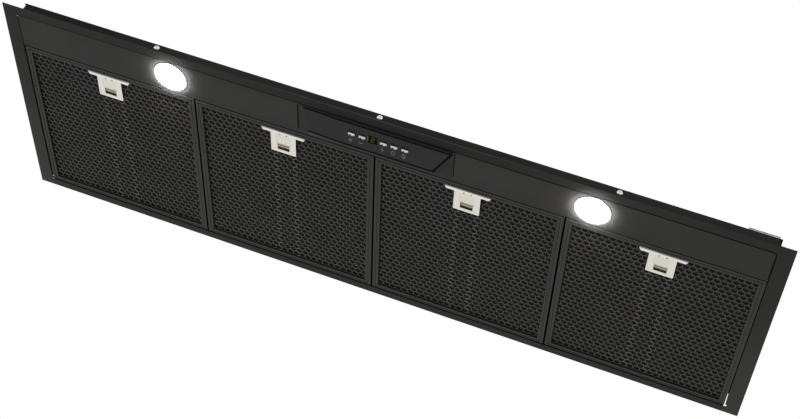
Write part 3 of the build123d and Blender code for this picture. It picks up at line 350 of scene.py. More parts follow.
def eased_solid(node, width, finish):
    """Copy of a solid with eased edges, which then stands for it."""
    body = frame["nodes"][node]["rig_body"]
    bm = ease_edges(solid_copy(node), width)
    piece_from(bm, node + "_eased", finish, body, (node,), 40.0)


def dress(finish, *nodes):
    """Give solids that are shown as they are their finish."""
    for name in nodes:
        data = frame["nodes"][name].data
        data.materials.clear()
        data.materials.append(bpy.data.materials[finish])


def everything(bm):
    """All geometry of a mesh, as the operators take it."""
    return bm.verts[:] + bm.edges[:] + bm.faces[:]


def vertices(geom):
    """The vertices among mixed geometry."""
    return [item for item in geom if isinstance(item, bmesh.types.BMVert)]


def repeat(bm, count, step):
    """Lay copies of the whole mesh in line, each a step further on."""
    first = everything(bm)
    for number in range(1, count):
        copy = bmesh.ops.duplicate(bm, geom=first)["geom"]
        bmesh.ops.translate(bm, verts=vertices(copy), vec=Vector(step) * number)


def cube(bm, size, place):
    """Add a box of a size at a place, which may be turned."""
    bmesh.ops.create_cube(bm, size=1.0, matrix=place @ Matrix.Diagonal((*size, 1.0)))


def block(bm, low, high):
    """Add a box between two corners."""
    cube(bm, high - low, Matrix.Translation((low + high) / 2))


def rounded_block(bm, low, high, radius, segments=4):
    """Box whose upright edges are rounded."""
    before = set(bm.edges)
    block(bm, low, high)
    made = [e for e in bm.edges if e not in before]
    upright = [e for e in made if abs((e.verts[0].co - e.verts[1].co).normalized().z) > 0.9]
    round_off(bm, upright, radius, segments)


def disc(bm, place, radius, height, sides, taper=1.0):
    """Add a disc, whose upper end may be narrower."""
    bmesh.ops.create_cone(
        bm, cap_ends=True, segments=sides, radius1=radius, radius2=radius * taper, depth=height,
        matrix=place,
    )


def turned(bm, profile, centre, steps):
    """Turn a profile of (radius, height) points about a vertical axis."""
    points = [bm.verts.new(centre + Vector((radius, 0, height))) for radius, height in profile]
    edges = [bm.edges.new(pair) for pair in zip(points, points[1:])]
    bmesh.ops.spin(
        bm, geom=points + edges, cent=centre, axis=Z_AXIS, angle=math.tau, steps=steps,
        use_merge=True,
    )
    bmesh.ops.remove_doubles(bm, verts=bm.verts, dist=0.005 * MM)
    bmesh.ops.recalc_face_normals(bm, faces=bm.faces)
    return bm


def cut_away(piece, cutters):
    """Cut closed shapes out of a piece, one after the other."""
    for cutter_bm in cutters:
        cutter = mesh_object("cutter", cutter_bm)
        cut = piece.modifiers.new("Cut", "BOOLEAN")
        cut.operation = "DIFFERENCE"
        cut.solver = "EXACT"
        cut.object = cutter
        bpy.context.view_layer.update()
        evaluated = piece.evaluated_get(bpy.context.evaluated_depsgraph_get())
        result = bpy.data.meshes.new_from_object(evaluated)
        piece.modifiers.remove(cut)
        old, piece.data = piece.data, result
        bpy.data.meshes.remove(old)
        bpy.data.meshes.remove(cutter.data)


def between(face, low, high):
    """Whether a face's middle lies between two corners, seen from below."""
    middle = face.calc_center_median()
    return low.x < middle.x < high.x and low.y < middle.y < high.y


def lower_faces(bm, level):
    """Faces that look down at one height."""
    return [
        f for f in bm.faces
        if f.normal.z < -0.9 and abs(f.calc_center_median().z - level) < 0.05 * MM
    ]


def score(bm, level, lines):
    """Divide the faces at one height along lines, each a point and the line's normal."""
    for point, normal in lines:
        faces = lower_faces(bm, level)
        edges = {e for f in faces for e in f.edges}
        verts = {v for f in faces for v in f.verts}
        bmesh.ops.bisect_plane(bm, geom=[*verts, *edges, *faces], plane_co=point, plane_no=normal)


def press_in(bm, level, low, high, depth):
    """Score the faces at one height round two corners and sink what lies between them."""
    score(bm, level, ((low, X_AXIS), (high, X_AXIS), (low, Y_AXIS), (high, Y_AXIS)))
    inside = [f for f in lower_faces(bm, level) if between(f, low, high)]
    bmesh.ops.inset_region(bm, faces=inside, thickness=0.25 * MM, depth=-depth)


# ---- Finishes --------------------------------------------------------------------------------


def shader_node(tree, kind, inputs=(), **settings):
    """Add a shader node, each input linked to a socket or set to a value; gives its outputs."""
    made = tree.nodes.new("ShaderNode" + kind)
    for name, value in settings.items():
        setattr(made, name, value)
    for socket, value in dict(inputs).items():
        if isinstance(value, bpy.types.NodeSocket):
            tree.links.new(value, made.inputs[socket])
        else:
            made.inputs[socket].default_value = value
    return made.outputs


class Finish:
    """One material with its shader and short ways to add what varies over the surface."""

    def __init__(self, name, **values):
        material = bpy.data.materials.new(name)
        material.use_nodes = True
        self.tree = material.node_tree
        self.shader = self.tree.nodes["Principled BSDF"]
        self.place = self.node("TexCoord")["Object"]
        for socket, value in values.items():
            self.shader.inputs[socket.replace("_", " ")].default_value = value

    def node(self, kind, inputs=(), **settings):
        """Add a node to the material."""
        return shader_node(self.tree, kind, inputs, **settings)

    def noise(self, scale, detail=3.0, stretch=(1, 1, 1)):
        """Noise from 0 to 1, with its scale in cycles per metre."""
        mapped = self.node("Mapping", {"Vector": self.place, "Scale": stretch})["Vector"]
        return self.node("TexNoise", {"Vector": mapped, "Scale": scale, "Detail": detail})["Fac"]

    def spangle(self, scale):
        """Random value for each cell, as in zinc crystals."""
        cells = self.node("TexVoronoi", {"Vector": self.place, "Scale": scale})["Color"]
        return self.node("RGBToBW", {"Color": cells})["Val"]

    def ramp(self, source, low, high, start=0.3, end=0.7):
        """Map a value to a range of numbers or colours."""
        made = self.tree.nodes.new("ShaderNodeValToRGB")
        stops = zip(made.color_ramp.elements, (start, end), (low, high))
        for stop, position, value in stops:
            stop.position = position
            stop.color = (*value, 1) if hasattr(value, "__len__") else (value, value, value, 1)
        self.tree.links.new(source, made.inputs["Fac"])
        return made.outputs["Color"]

    def toned(self, base, scale, detail, low, high, *ends):
        """Noise between a darker and a lighter tone of a colour."""
        return self.ramp(self.noise(scale, detail), tint(base, low), tint(base, high), *ends)

    def mixed(self, mask, tone, other, blend):
        """Blend a colour with another where a mask is 1."""
        inputs = {"Factor": mask, "A": tone, "B": (*other, 1)}
        return self.node("Mix", inputs, data_type="RGBA", blend_type=blend)["Result"]

    def worn(self, tone, edge, amount):
        """Blend to a lighter colour where an edge stands out."""
        edges = self.ramp(self.node("NewGeometry")["Pointiness"], 0.0, amount, 0.52, 0.62)
        return self.mixed(edges, tone, edge, "MIX")

    def shaded(self, tone, mask, factor):
        """Lighten or darken a colour by a factor where a mask is 1."""
        return self.mixed(mask, tone, (factor,) * 3, "MULTIPLY")

    def along(self, axis, start, end):
        """0 at one place along an axis of the hood, rising to 1 at another."""
        value = self.node("SeparateXYZ", {"Vector": self.place})[axis]
        inputs = {"Value": value, "From Min": start, "From Max": end}
        return self.node("MapRange", inputs)["Result"]

    def combine(self, operation, first, second):
        """Sum, product or the like of two values."""
        return self.node("Math", {0: first, 1: second}, operation=operation)["Value"]

    def link(self, source, socket):
        """Feed one socket of the shader."""
        self.tree.links.new(source, self.shader.inputs[socket])

    def vary(self, socket, scale, detail, low, high):
        """Let noise carry one socket between two values."""
        self.link(self.ramp(self.noise(scale, detail), low, high), socket)

    def bumped(self, source, height, strength):
        """Raise the surface by a value, up to a height in millimetres."""
        inputs = {"Height": source, "Distance": height * MM, "Strength": strength}
        self.link(self.node("Bump", inputs)["Normal"], "Normal")

    def coated(self, tone, rubbed, wear, rough, grain):
        """Rubbed edges, uneven roughness and a fine grain, as on a coat or a moulding."""
        self.link(self.worn(tone, rubbed, wear), "Base Color")
        self.vary("Roughness", *rough)
        scale, detail, height, strength = grain
        self.bumped(self.noise(scale, detail), height, strength)


# Scale, detail, height in millimetres and strength of three fine grains.
POWDER_GRAIN = (1600.0, 2.0, 0.04, 0.35)
MESH_GRAIN = (900.0, 2.0, 0.03, 0.4)
MOULDED_GRAIN = (2600.0, 1.0, 0.02, 0.3)


def tint(base, factor):
    """A lighter or darker tone of a colour."""
    return tuple(min(1.0, part * factor) for part in base)


def powder_coat(name, base, roughness=0.42, level=0.12, wear=0.6):
    """Fine textured powder coat, a little lighter where an edge is rubbed."""
    finish = Finish(name, Specular_IOR_Level=level)
    tone = finish.toned(base, 9.0, 4.0, 0.9, 1.1)
    rough = (35.0, 5.0, roughness - 0.05, roughness + 0.06)
    finish.coated(tone, tint(base, 2.6), wear, rough, POWDER_GRAIN)


def coated_mesh(name, base):
    """Coated aluminium with a soft sheen, darker where grease settles."""
    finish = Finish(name, Specular_IOR_Level=0.15)
    tone = finish.toned(base, 14.0, 5.0, 0.78, 1.15, 0.25, 0.75)
    finish.coated(tone, tint(base, 3.0), 0.8, (60.0, 4.0, 0.32, 0.5), MESH_GRAIN)


def dense_core(name, base):
    """Expanded mesh in the middle of a filter, seen only through the holes."""
    finish = Finish(name, Specular_IOR_Level=0.2, Roughness=0.6)
    strands = finish.spangle(420.0)
    finish.link(finish.ramp(strands, tint(base, 0.25), tint(base, 0.9), 0.2, 0.9), "Base Color")
    finish.bumped(strands, 0.6, 0.8)


def satin_plastic(name, base, roughness=0.42, level=0.5, wear=0.5):
    """Moulded plastic with a fine sparked texture."""
    finish = Finish(name, Specular_IOR_Level=level)
    tone = finish.toned(base, 22.0, 4.0, 0.95, 1.05)
    rough = (80.0, 3.0, roughness - 0.04, roughness + 0.05)
    finish.coated(tone, tint(base, 1.25), wear, rough, MOULDED_GRAIN)


def plate_plastic(name, base, rim_level, panel_level):
    """Ivory plastic with a painted highlight on a latch plate's rim and painted shade in its sunk
    middle.
    """
    finish = Finish(name, Specular_IOR_Level=0.5)
    # Painted light by height: lighter on the rim, greyer where the plate is sunk.
    depth = finish.along("Z", rim_level, panel_level)
    tone = finish.ramp(depth, tint(base, 1.16), tint(base, 0.88), 0.05, 0.95)
    tone = finish.shaded(tone, finish.noise(22.0, 4.0), 0.94)
    finish.coated(tone, tint(base, 1.25), 0.5, (80.0, 3.0, 0.34, 0.43), MOULDED_GRAIN)


def trim_coat(name, base, low):
    """Powder coat of the trim, toned by place.

    The flange has painted shade before the controls and painted light on its end strips, its front
    fold has a painted highlight, and the left part of the front upstand has painted shade.
    """
    finish = Finish(name, Specular_IOR_Level=0.12)
    tone = finish.toned(base, 9.0, 4.0, 0.9, 1.1)

    def both(first, second):
        return finish.combine("MULTIPLY", first, second)

    before_controls = both(finish.along("X", -0.20, -0.08), finish.along("X", 0.27, 0.11))
    flange = finish.along("Y", low.y + 17.5 * MM, low.y + 13.5 * MM)
    # Painted shade: the flange is darkened before the controls.
    tone = finish.shaded(tone, both(flange, before_controls), 0.62)
    # Painted shade on the left of the front upstand: darker colour, made metallic to dim its sheen.
    above_flange = finish.along("Z", low.z + 1.2 * MM, low.z + 1.8 * MM)
    upstand = both(above_flange, finish.along("Y", -0.16, -0.18))
    shade = both(upstand, finish.along("X", -0.30, -0.46))
    tone = finish.shaded(tone, shade, 0.42)
    finish.link(shade, "Metallic")
    # Painted light: the end strips are lightened, more towards the rear.
    left_end, right_end = (finish.along("X", side * 0.572, side * 0.58) for side in (-1, 1))
    ends = finish.combine("MAXIMUM", left_end, right_end)
    tone = finish.shaded(tone, both(ends, finish.along("Y", -0.1, 0.12)), 1.6)
    # Painted highlight along the front fold before the controls.
    fold = finish.along("Y", low.y + 0.7 * MM, low.y + 0.3 * MM)
    tone = finish.shaded(tone, both(fold, before_controls), 5.0)
    finish.coated(tone, tint(base, 2.0), 0.12, (35.0, 5.0, 0.37, 0.48), POWDER_GRAIN)


def zinc_sheet(name, base):
    """Hot-dip galvanised sheet with its crystal spangle."""
    finish = Finish(name, Metallic=1.0)
    crystals = finish.spangle(160.0)
    finish.link(finish.ramp(crystals, tint(base, 0.72), tint(base, 1.2), 0.15, 0.85), "Base Color")
    finish.link(finish.ramp(crystals, 0.28, 0.5, 0.1, 0.9), "Roughness")
    finish.bumped(finish.noise(240.0, 3.0), 0.03, 0.3)


def bright_metal(name, base, roughness, stretch=(1, 1, 1)):
    """Plated or drawn metal with fine scratches."""
    finish = Finish(name, Metallic=1.0)
    streaks = finish.noise(700.0, 4.0, stretch)
    finish.link(finish.toned(base, 40.0, 3.0, 0.88, 1.08), "Base Color")
    finish.link(finish.ramp(streaks, roughness - 0.08, roughness + 0.1), "Roughness")
    finish.bumped(streaks, 0.01, 0.25)


def plated_key(name):
    """Silver mirror metal for the glint inlays on the keys; it mirrors the room, and the inlay's
    shape is a painted glint.
    """
    finish = Finish(name, Metallic=1.0, Base_Color=(0.95, 0.95, 0.95, 1))
    finish.vary("Roughness", 300.0, 3.0, 0.07, 0.16)
    finish.bumped(finish.noise(150.0, 2.0), 0.02, 0.2)


def smoked_window(name):
    """Near-black display window with a gloss."""
    finish = Finish(name, Specular_IOR_Level=0.02)
    finish.vary("Base Color", 25.0, 2.0, (0.002, 0.002, 0.0015), (0.004, 0.004, 0.003))
    finish.vary("Roughness", 200.0, 2.0, 0.10, 0.2)
    finish.bumped(finish.noise(90.0, 2.0), 0.01, 0.15)


def lit_segment(name):
    """Dim yellow-green light of the digit, uneven along each stroke."""
    finish = Finish(
        name, Base_Color=(0.03, 0.033, 0.002, 1), Emission_Strength=0.12, Roughness=0.5,
        Specular_IOR_Level=0.05,
    )
    finish.vary("Emission Color", 500.0, 2.0, (0.36, 0.34, 0.02), (0.5, 0.45, 0.04))


def printed_mark(name):
    """Grey-blue print of the symbols, slightly worn; also the painted highlight beside the display.
    """
    finish = Finish(name, Roughness=0.5, Specular_IOR_Level=0.2)
    finish.vary("Base Color", 900.0, 3.0, (0.11, 0.115, 0.135), (0.18, 0.185, 0.21))


def seam_shadow(name):
    """Dark line of a closed joint between two pieces; also painted shade on the control cover's
    edges and in the terminal box's vents.
    """
    finish = Finish(name, Roughness=0.8, Specular_IOR_Level=0.0)
    finish.vary("Base Color", 200.0, 2.0, (0.003, 0.003, 0.003), (0.007, 0.007, 0.0065))


def lit_glass(name, middle, radius, strength):
    """Frosted glass lit from behind, brightest in the middle."""
    finish = Finish(name, Base_Color=(0.9, 0.9, 0.9, 1), Emission_Strength=strength)
    centred = {
        "Vector": finish.place, "Location": -middle / radius, "Scale": (1 / radius,) * 3,
    }
    from_middle = finish.node(
        "VectorMath", {0: finish.node("Mapping", centred)["Vector"]}, operation="LENGTH"
    )["Value"]
    light = finish.ramp(from_middle, (1.0, 1.0, 0.99), (0.80, 0.82, 0.84), 0.75, 1.0)
    finish.link(light, "Emission Color")
    finish.vary("Roughness", 1200.0, 2.0, 0.35, 0.5)
    finish.bumped(finish.noise(900.0, 1.0), 0.05, 0.4)


def solder_mask(name):
    """Green board with lighter tracks."""
    finish = Finish(name, Roughness=0.35)
    tracks = finish.spangle(300.0)
    green = finish.ramp(tracks, (0.01, 0.07, 0.025), (0.03, 0.2, 0.07), 0.45, 0.55)
    finish.link(green, "Base Color")
    finish.bumped(tracks, 0.03, 0.3)


def make_finishes():
    """Make every finish once."""
    group = sizes("finishes")
    base = {name: tuple(getattr(group, name)) for name in HoodFinishes.__annotations__}
    trim_coat("trim_coat", base["trim"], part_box("trim_frame")[0])
    powder_coat("fascia_coat", tint(base["trim"], 1.42), wear=0.08)
    powder_coat("housing_coat", base["housing"], 0.5)
    powder_coat("filter_coat", base["filter"], 0.38, 0.16)
    coated_mesh("mesh_coat", base["mesh"])
    # Painted shade: the layer behind is a darker copy of the mesh coat.
    coated_mesh("inner_mesh_coat", tint(base["mesh"], 0.6))
    dense_core("core_mesh", base["mesh"])
    latch, plate = sizes("latches"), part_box("latch_1_plate")[0]
    plate_plastic("ivory", base["ivory"], plate.z, plate.z + latch.sink + latch.panel_sink)
    satin_plastic("panel_cover", base["panel"], 0.36, 0.16, 0.1)
    satin_plastic("bolt", base["bolt"])
    satin_plastic("window_shade", (0.03, 0.024, 0.014), 0.6, 0.05)
    satin_plastic("key_black", (0.0115, 0.0115, 0.012), 0.22, 0.2)
    satin_plastic("moulded", base["moulded"], 0.48, 0.4)
    satin_plastic("impeller_grey", (0.055, 0.055, 0.06), 0.45)
    satin_plastic("capacitor_case", (0.66, 0.66, 0.64), 0.35)
    satin_plastic("bezel_coat", (0.030, 0.030, 0.031), 0.3)
    zinc_sheet("zinc", base["zinc"])
    bright_metal("steel", (0.52, 0.52, 0.53), 0.3, (1, 8, 8))
    bright_metal("screw_zinc", (0.80, 0.80, 0.81), 0.22)
    bright_metal("spring_wire", (0.55, 0.55, 0.54), 0.28, (8, 8, 1))
    bright_metal("cast_aluminium", (0.45, 0.45, 0.46), 0.5)
    for make in (plated_key, smoked_window, lit_segment, printed_mark, seam_shadow, solder_mask):
        make(make.__name__)


# ---- Trim and fascia -------------------------------------------------------------------------


def make_trim():
    """Trim frame, fascia and deck with eased edges, and the hinge rail behind them."""
    housing = sizes("housing")
    eased_solid("trim_frame", housing.trim_edge, "trim_coat")
    eased_solid("front_fascia", housing.trim_edge, "fascia_coat")
    eased_solid("deck_plate", housing.trim_edge, "housing_coat")
    dress("zinc", "hinge_rail", "hinge_ears")
    make_fascia_seam(housing)
    make_corners(housing)


def make_fascia_seam(housing):
    """Dark joints along the fascia's front, round its right corner and down the left side."""
    low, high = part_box("front_fascia")
    left, rear = low.x - 1.0 * MM, high.y - 4.0 * MM
    corner = Vector((high.x + 0.9 * MM, low.y - 0.35 * MM, low.z - housing.proud))
    bm = bmesh.new()
    path = ((left, corner.y, corner.z), corner, (corner.x, rear, corner.z))
    outline = [bm.verts.new(point) for point in path]
    for pair in zip(outline, outline[1:]):
        bm.edges.new(pair)
    round_off(bm, [outline[1]], housing.corner, 8, affect="VERTICES")
    inner = bmesh.ops.extrude_edge_only(bm, edges=bm.edges[:])["geom"]
    centre = Vector((corner.x - housing.corner, corner.y + housing.corner, corner.z))
    for vert in vertices(inner):
        share = (vert.co.x - low.x) / (high.x - low.x)
        width = housing.seam_left + share * (housing.seam - housing.seam_left)
        if vert.co.x < centre.x:
            vert.co.y += width
        elif vert.co.y > centre.y:
            vert.co.x -= width
        else:
            vert.co += (centre - vert.co).normalized() * width
    bmesh.ops.recalc_face_normals(bm, faces=bm.faces)
    for face in bm.faces:
        if face.normal.z > 0:
            face.normal_flip()
    bmesh.ops.solidify(bm, geom=bm.faces[:], thickness=housing.proud)
    clear_of_hole, off_fascia = 3.0 * MM, 0.1 * MM
    block(
        bm, Vector((low.x - housing.side_joint, low.y + clear_of_hole, corner.z)),
        Vector((low.x - off_fascia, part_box("filter_1_frame")[1].y, corner.z + housing.proud)),
    )
    piece_from(bm, "fascia_seam", "seam_shadow")


def make_corners(housing):
    """Web over the front right relief hole, patch in the rear left, ring round the front left."""
    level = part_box("trim_frame")[0].z
    side, front, rear = 577.5, -180.75, 182.9
    web = bmesh.new()
    up = Vector((0, 0, level))
    sunk = Vector((0, 0, housing.proud / 2))
    block(web, up - sunk + mm(side - 5.5, front - 3.2, 0), up + mm(side + 2.9, front + 2.9, 0.6))
    piece_from(web, "front_corner_web", "trim_coat")
    patch = bmesh.new()
    block(patch, up + mm(-side - 3, rear - 3, 1.3), up + mm(-side + 3, rear + 2.4, 2.0))
    piece_from(patch, "rear_corner_patch", "impeller_grey")
    inner, outer, lower, upper = 1.0 * MM, 2.6 * MM, 0.2 * MM, 1.0 * MM
    profile = [(inner, lower), (inner, upper), (outer, upper), (outer, lower), (inner, lower)]
    ring = turned(bmesh.new(), profile, up + mm(-side, front, 0), 24)
    piece_from(ring, "front_corner_ring", "trim_coat", sharpest=40.0)


# ---- Grease filters --------------------------------------------------------------------------


def honeycomb_cell(bm, pitch, hole, depth, rim):
    """Six-sided tile around one hole, facing down; a rim makes the hole round and turned in."""
    down = Matrix.Rotation(math.pi, 4, "X")
    bmesh.ops.create_circle(
        bm, cap_ends=True, radius=pitch / math.sqrt(3), segments=6, matrix=down
    )
    if rim:
        bmesh.ops.subdivide_edges(bm, edges=bm.edges[:], cuts=1)
    tile = bm.faces[:][0]
    bmesh.ops.inset_individual(bm, faces=[tile], thickness=(pitch - hole) / 2)
    corner_reach = 1.12
    for vert in tile.verts:
        at_corner = abs(math.sin(3 * math.atan2(vert.co.x, vert.co.y))) < 0.5
        vert.co = vert.co.normalized() * (corner_reach if at_corner else 1.0) * hole / 2
    if rim:
        bmesh.ops.inset_individual(bm, faces=[tile], thickness=rim, depth=-rim)
    wall = bmesh.ops.extrude_discrete_faces(bm, faces=[tile])["faces"]
    bmesh.ops.translate(bm, verts=wall[0].verts, vec=(0, 0, depth - rim))
    bmesh.ops.delete(bm, geom=wall, context="FACES")


def honeycomb_sheet(size, pitch, hole, thickness, rim, cutout):
    """Perforated sheet about the origin, trimmed to its outline and to the latch's cut-out."""
    row_step = pitch * math.sqrt(3) / 2
    columns = math.ceil(size.x / pitch) + 2
    row_pairs = math.ceil(size.y / row_step / 2) + 1
    bm = bmesh.new()
    honeycomb_cell(bm, pitch, hole, thickness, rim)
    repeat(bm, columns, (pitch, 0, 0))
    repeat(bm, 2, (pitch / 2, row_step, 0))
    repeat(bm, row_pairs, (0, 2 * row_step, 0))
    middle = Vector(((columns - 0.5) * pitch / 2, (2 * row_pairs - 1) * row_step / 2, 0))
    bmesh.ops.translate(bm, verts=bm.verts, vec=-middle)
    bmesh.ops.remove_doubles(bm, verts=bm.verts, dist=0.01 * MM)
    for axis, reach in ((X_AXIS, size.x / 2), (Y_AXIS, size.y / 2)):
        for way in (-axis, axis):
            bmesh.ops.bisect_plane(
                bm, geom=everything(bm), plane_co=way * reach, plane_no=way, clear_outer=True
            )
    for corner in cutout:
        for axis in (X_AXIS, Y_AXIS):
            bmesh.ops.bisect_plane(bm, geom=everything(bm), plane_co=corner, plane_no=axis)
    inside = [face for face in bm.faces if between(face, *cutout)]
    bmesh.ops.delete(bm, geom=inside, context="FACES")
    return bm


def mitre_seams(low, high, marks):
    """Fine lines across the frame's four corners, shorter at the rear."""
    bm = bmesh.new()
    across = marks.band * math.sqrt(2)
    for x, toward_x in ((low.x, 1), (high.x, -1)):
        for y, toward_y in ((low.y, 1), (high.y, -1)):
            gap = marks.corner_gap if toward_y > 0 else 3 * marks.corner_gap
            inward = Vector((toward_x, toward_y, 0)).normalized()
            centre = Vector((x, y, low.z)) + inward * (across + gap) / 2
            turn = Matrix.Rotation(math.atan2(toward_y, toward_x), 4, "Z")
            shape = (across * 0.94 - gap, marks.seam, 2 * marks.proud)
            cube(bm, shape, Matrix.Translation(centre) @ turn)
    return bm


def make_filters():
    """The four grease filters, which share their honeycomb layers."""
    marks, mesh = sizes("filters"), sizes("mesh")
    low, high, centre = extent("filter_1_face")
    plate_low, plate_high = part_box("latch_1_plate")
    box_half, front_wall, rear_wall = 15.3 * MM, 2.9 * MM, 1.0 * MM
    cutout = (
        Vector((-box_half, plate_low.y + front_wall - centre.y, 0)),
        Vector((box_half, plate_high.y - rear_wall - centre.y, 0)),
    )
    size, thickness = high - low, high.z - low.z
    lower = honeycomb_sheet(size, mesh.pitch, mesh.hole, thickness, mesh.rim, cutout)
    inner = honeycomb_sheet(size, mesh.pitch, mesh.inner_hole, mesh.layer, 0.0, cutout)
    upper = inner.copy()
    bmesh.ops.transform(upper, matrix=Matrix.Rotation(math.pi, 4, "Y"), verts=upper.verts)
    for number in FILTERS:
        make_filter(f"filter_{number}", (lower, inner, upper), cutout, marks, mesh)
    for bm in (lower, inner, upper):
        bm.free()


def make_filter(body, sheets, cutout, marks, mesh):
    """Frame, three honeycomb layers, dense core and mitre lines of one filter."""
    low, high, middle = extent(body + "_face")
    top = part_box(body + "_pad")[1].z
    eased_solid(body + "_frame", marks.edge, "filter_coat")
    layers = (
        ("_honeycomb", low.z, "mesh_coat", (body + "_face",)),
        ("_second_layer", high.z + mesh.inner_gap, "inner_mesh_coat", ()),
        ("_upper_layer", top, "mesh_coat", ()),
    )
    for sheet, (name, level, finish, replaced) in zip(sheets, layers):
        layer = sheet.copy()
        bmesh.ops.translate(layer, verts=layer.verts, vec=(middle.x, middle.y, level))
        piece_from(layer, body + name, finish, body, replaced)
    core = bmesh.new()
    core_top = top - mesh.layer - mesh.core_gap
    box_left, box_right, box_rear = (
        middle.x + cutout[0].x, middle.x + cutout[1].x, middle.y + cutout[1].y
    )
    for left, right, front in (
        (low.x, box_left, low.y),
        (box_right, high.x, low.y),
        (box_left, box_right, box_rear),
    ):
        block(
            core, Vector((left, front, core_top - mesh.core)), Vector((right, high.y, core_top))
        )
    piece_from(core, body + "_core", "core_mesh", body, (body + "_pad",))
    seams = mitre_seams(*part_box(body + "_frame"), marks)
    piece_from(seams, body + "_mitres", "seam_shadow", body)


def latch_face(node, size):
    """Copy of the handle plate with tapered walls, a raised rim and a sunk middle panel."""
    bm = solid_copy(node)
    low, high, middle = extent(node)
    level = low.z
    shell, body_half, near = level + 4.8 * MM, 20.0 * MM, 0.2 * MM
    bmesh.ops.bisect_plane(
        bm, geom=everything(bm), plane_co=Vector((0, 0, level + size.lip)), plane_no=Z_AXIS
    )
    for vert in bm.verts:
        if abs(vert.co.z - shell) < 0.05 * MM:
            side = vert.co.x - middle.x
            if abs(side) > body_half - near:
                vert.co.x -= math.copysign(size.side_taper, side)
            if vert.co.y < low.y + near:
                vert.co.y += size.front_taper
            elif vert.co.y > high.y - near:
                vert.co.y -= size.side_taper * 0.3
    inner = Vector((middle.x - body_half + size.rim, low.y + size.bar, 0))
    outer = Vector((middle.x + body_half - size.rim, high.y - size.rear_rim, 0))
    press_in(bm, level, inner, outer, size.sink)
    half, front_strip, window_strip = size.panel_width / 2, 0.5 * MM, 0.6 * MM
    panel = Vector((middle.x - half, inner.y + front_strip, 0))
    window = Vector((middle.x + half, low.y + size.window_inset - window_strip, 0))
    press_in(bm, level + size.sink, panel, window, size.panel_sink)
    return bm


def latch_marks(node, size):
    """Painted shadow at the window's lower rear, and two dots of painted shade behind the front
    bar.
    """
    low, _, middle = extent(node)
    half, rear = size.window_width / 2, low.y + size.window_inset + size.window_depth
    behind_face, overlap = 0.35 * MM, 0.05 * MM
    base = low.z + size.sink + behind_face
    bm = bmesh.new()
    # Painted shadow along the lower rear of the window.
    block(
        bm, Vector((middle.x - half, rear - size.sill, base)),
        Vector((middle.x + half, rear + overlap, base + size.sill_height)),
    )
    # Dark discs painted as the shade in the two dents.
    dot_level, dot_height = low.z + 0.22 * MM, 0.5 * MM
    for side in (-1, 1):
        place = (middle.x + side * size.dot_spacing / 2, low.y + size.dot_inset, dot_level)
        disc(bm, Matrix.Translation(place), size.dot_radius, dot_height, 20)
    return bm


def make_latches():
    """Ivory handle plates, bolts and springs."""
    size = sizes("latches")
    for number in FILTERS:
        latch, body = f"latch_{number}", f"filter_{number}"
        plate = latch + "_plate"
        handle = ease_edges(latch_face(plate, size), size.edge, 60.0)
        piece_from(handle, latch + "_handle", "ivory", body, (plate,), 40.0)
        marks = latch_marks(plate, size)
        piece_from(marks, latch + "_marks", "window_shade", body)
        eased_solid(latch + "_slider", size.bolt_edge, "bolt")
        dress("spring_wire", latch + "_spring")


# ---- Controls --------------------------------------------------------------------------------

# Width and depth of each step of a key's crown by the step before, and its share of the rise.
CROWN_STEPS = (
    (0.94, 0.92, 0.30),
    (0.92, 0.87, 0.28),
    (0.88, 0.80, 0.20),
    (0.80, 0.72, 0.14),
    (0.70, 0.60, 0.08),
)
# Left, right, front and rear of each block of a painted glint from the key's middle, and its
# set-back, in mm.
GLINT_BLOCKS = (
    (-4.4, 5.9, -2.7, 0.2, 0.0),
    (-4.1, -2.0, -2.3, 1.9, 0.15),
    (0.2, 3.2, -2.3, 2.7, 0.15),
    (3.6, 5.6, -2.3, 1.3, 0.15),
)


def key_cap(low, high, level, size):
    """Pillow-shaped cap whose crown leans forward, over a foot that stands in its opening."""
    bm = bmesh.new()
    foot = level - size.key_foot
    rounded_block(bm, Vector((low.x, low.y, foot)), high, 1.6 * MM, 5)
    crown = min(bm.faces, key=lambda f: f.calc_center_median().z)
    rise = foot - low.z - size.key_sink
    for wide, deep, share in CROWN_STEPS:
        crown = bmesh.ops.extrude_discrete_faces(bm, faces=[crown])["faces"][0]
        about = Matrix.Translation(-crown.calc_center_median())
        bmesh.ops.scale(bm, vec=(wide, deep, 1), verts=crown.verts, space=about)
        bmesh.ops.translate(bm, verts=crown.verts, vec=(0, -size.key_lean, -rise * share))
    return bm


def key_plating(centre, level):
    """Mirror-metal arch on the front of a key, shaped as a painted glint: a band with two short
    legs and a tail.
    """
    bm = bmesh.new()
    origin = Vector((centre.x, centre.y, level))
    thickness, corner = 1.6, 0.8 * MM
    for left, right, front, rear, back in GLINT_BLOCKS:
        rounded_block(
            bm, origin + mm(left, front, back), origin + mm(right, rear, thickness), corner
        )
    return ease_edges(bm, 0.25 * MM)


def stroke_block(bm, centre, reach, width, height, degrees=0.0):
    """One straight stroke of a symbol, flat on the cover."""
    turn = Matrix.Rotation(math.radians(degrees), 4, "Z")
    cube(bm, (reach, width, height), Matrix.Translation(centre) @ turn)


def ring_mark(bm, centre, radius, width, height):
    """Flat ring of a symbol."""
    half, inner = height / 2, radius - width
    profile = [(radius, -half), (radius, half), (inner, half), (inner, -half), (radius, -half)]
    turned(bm, profile, centre, 24)


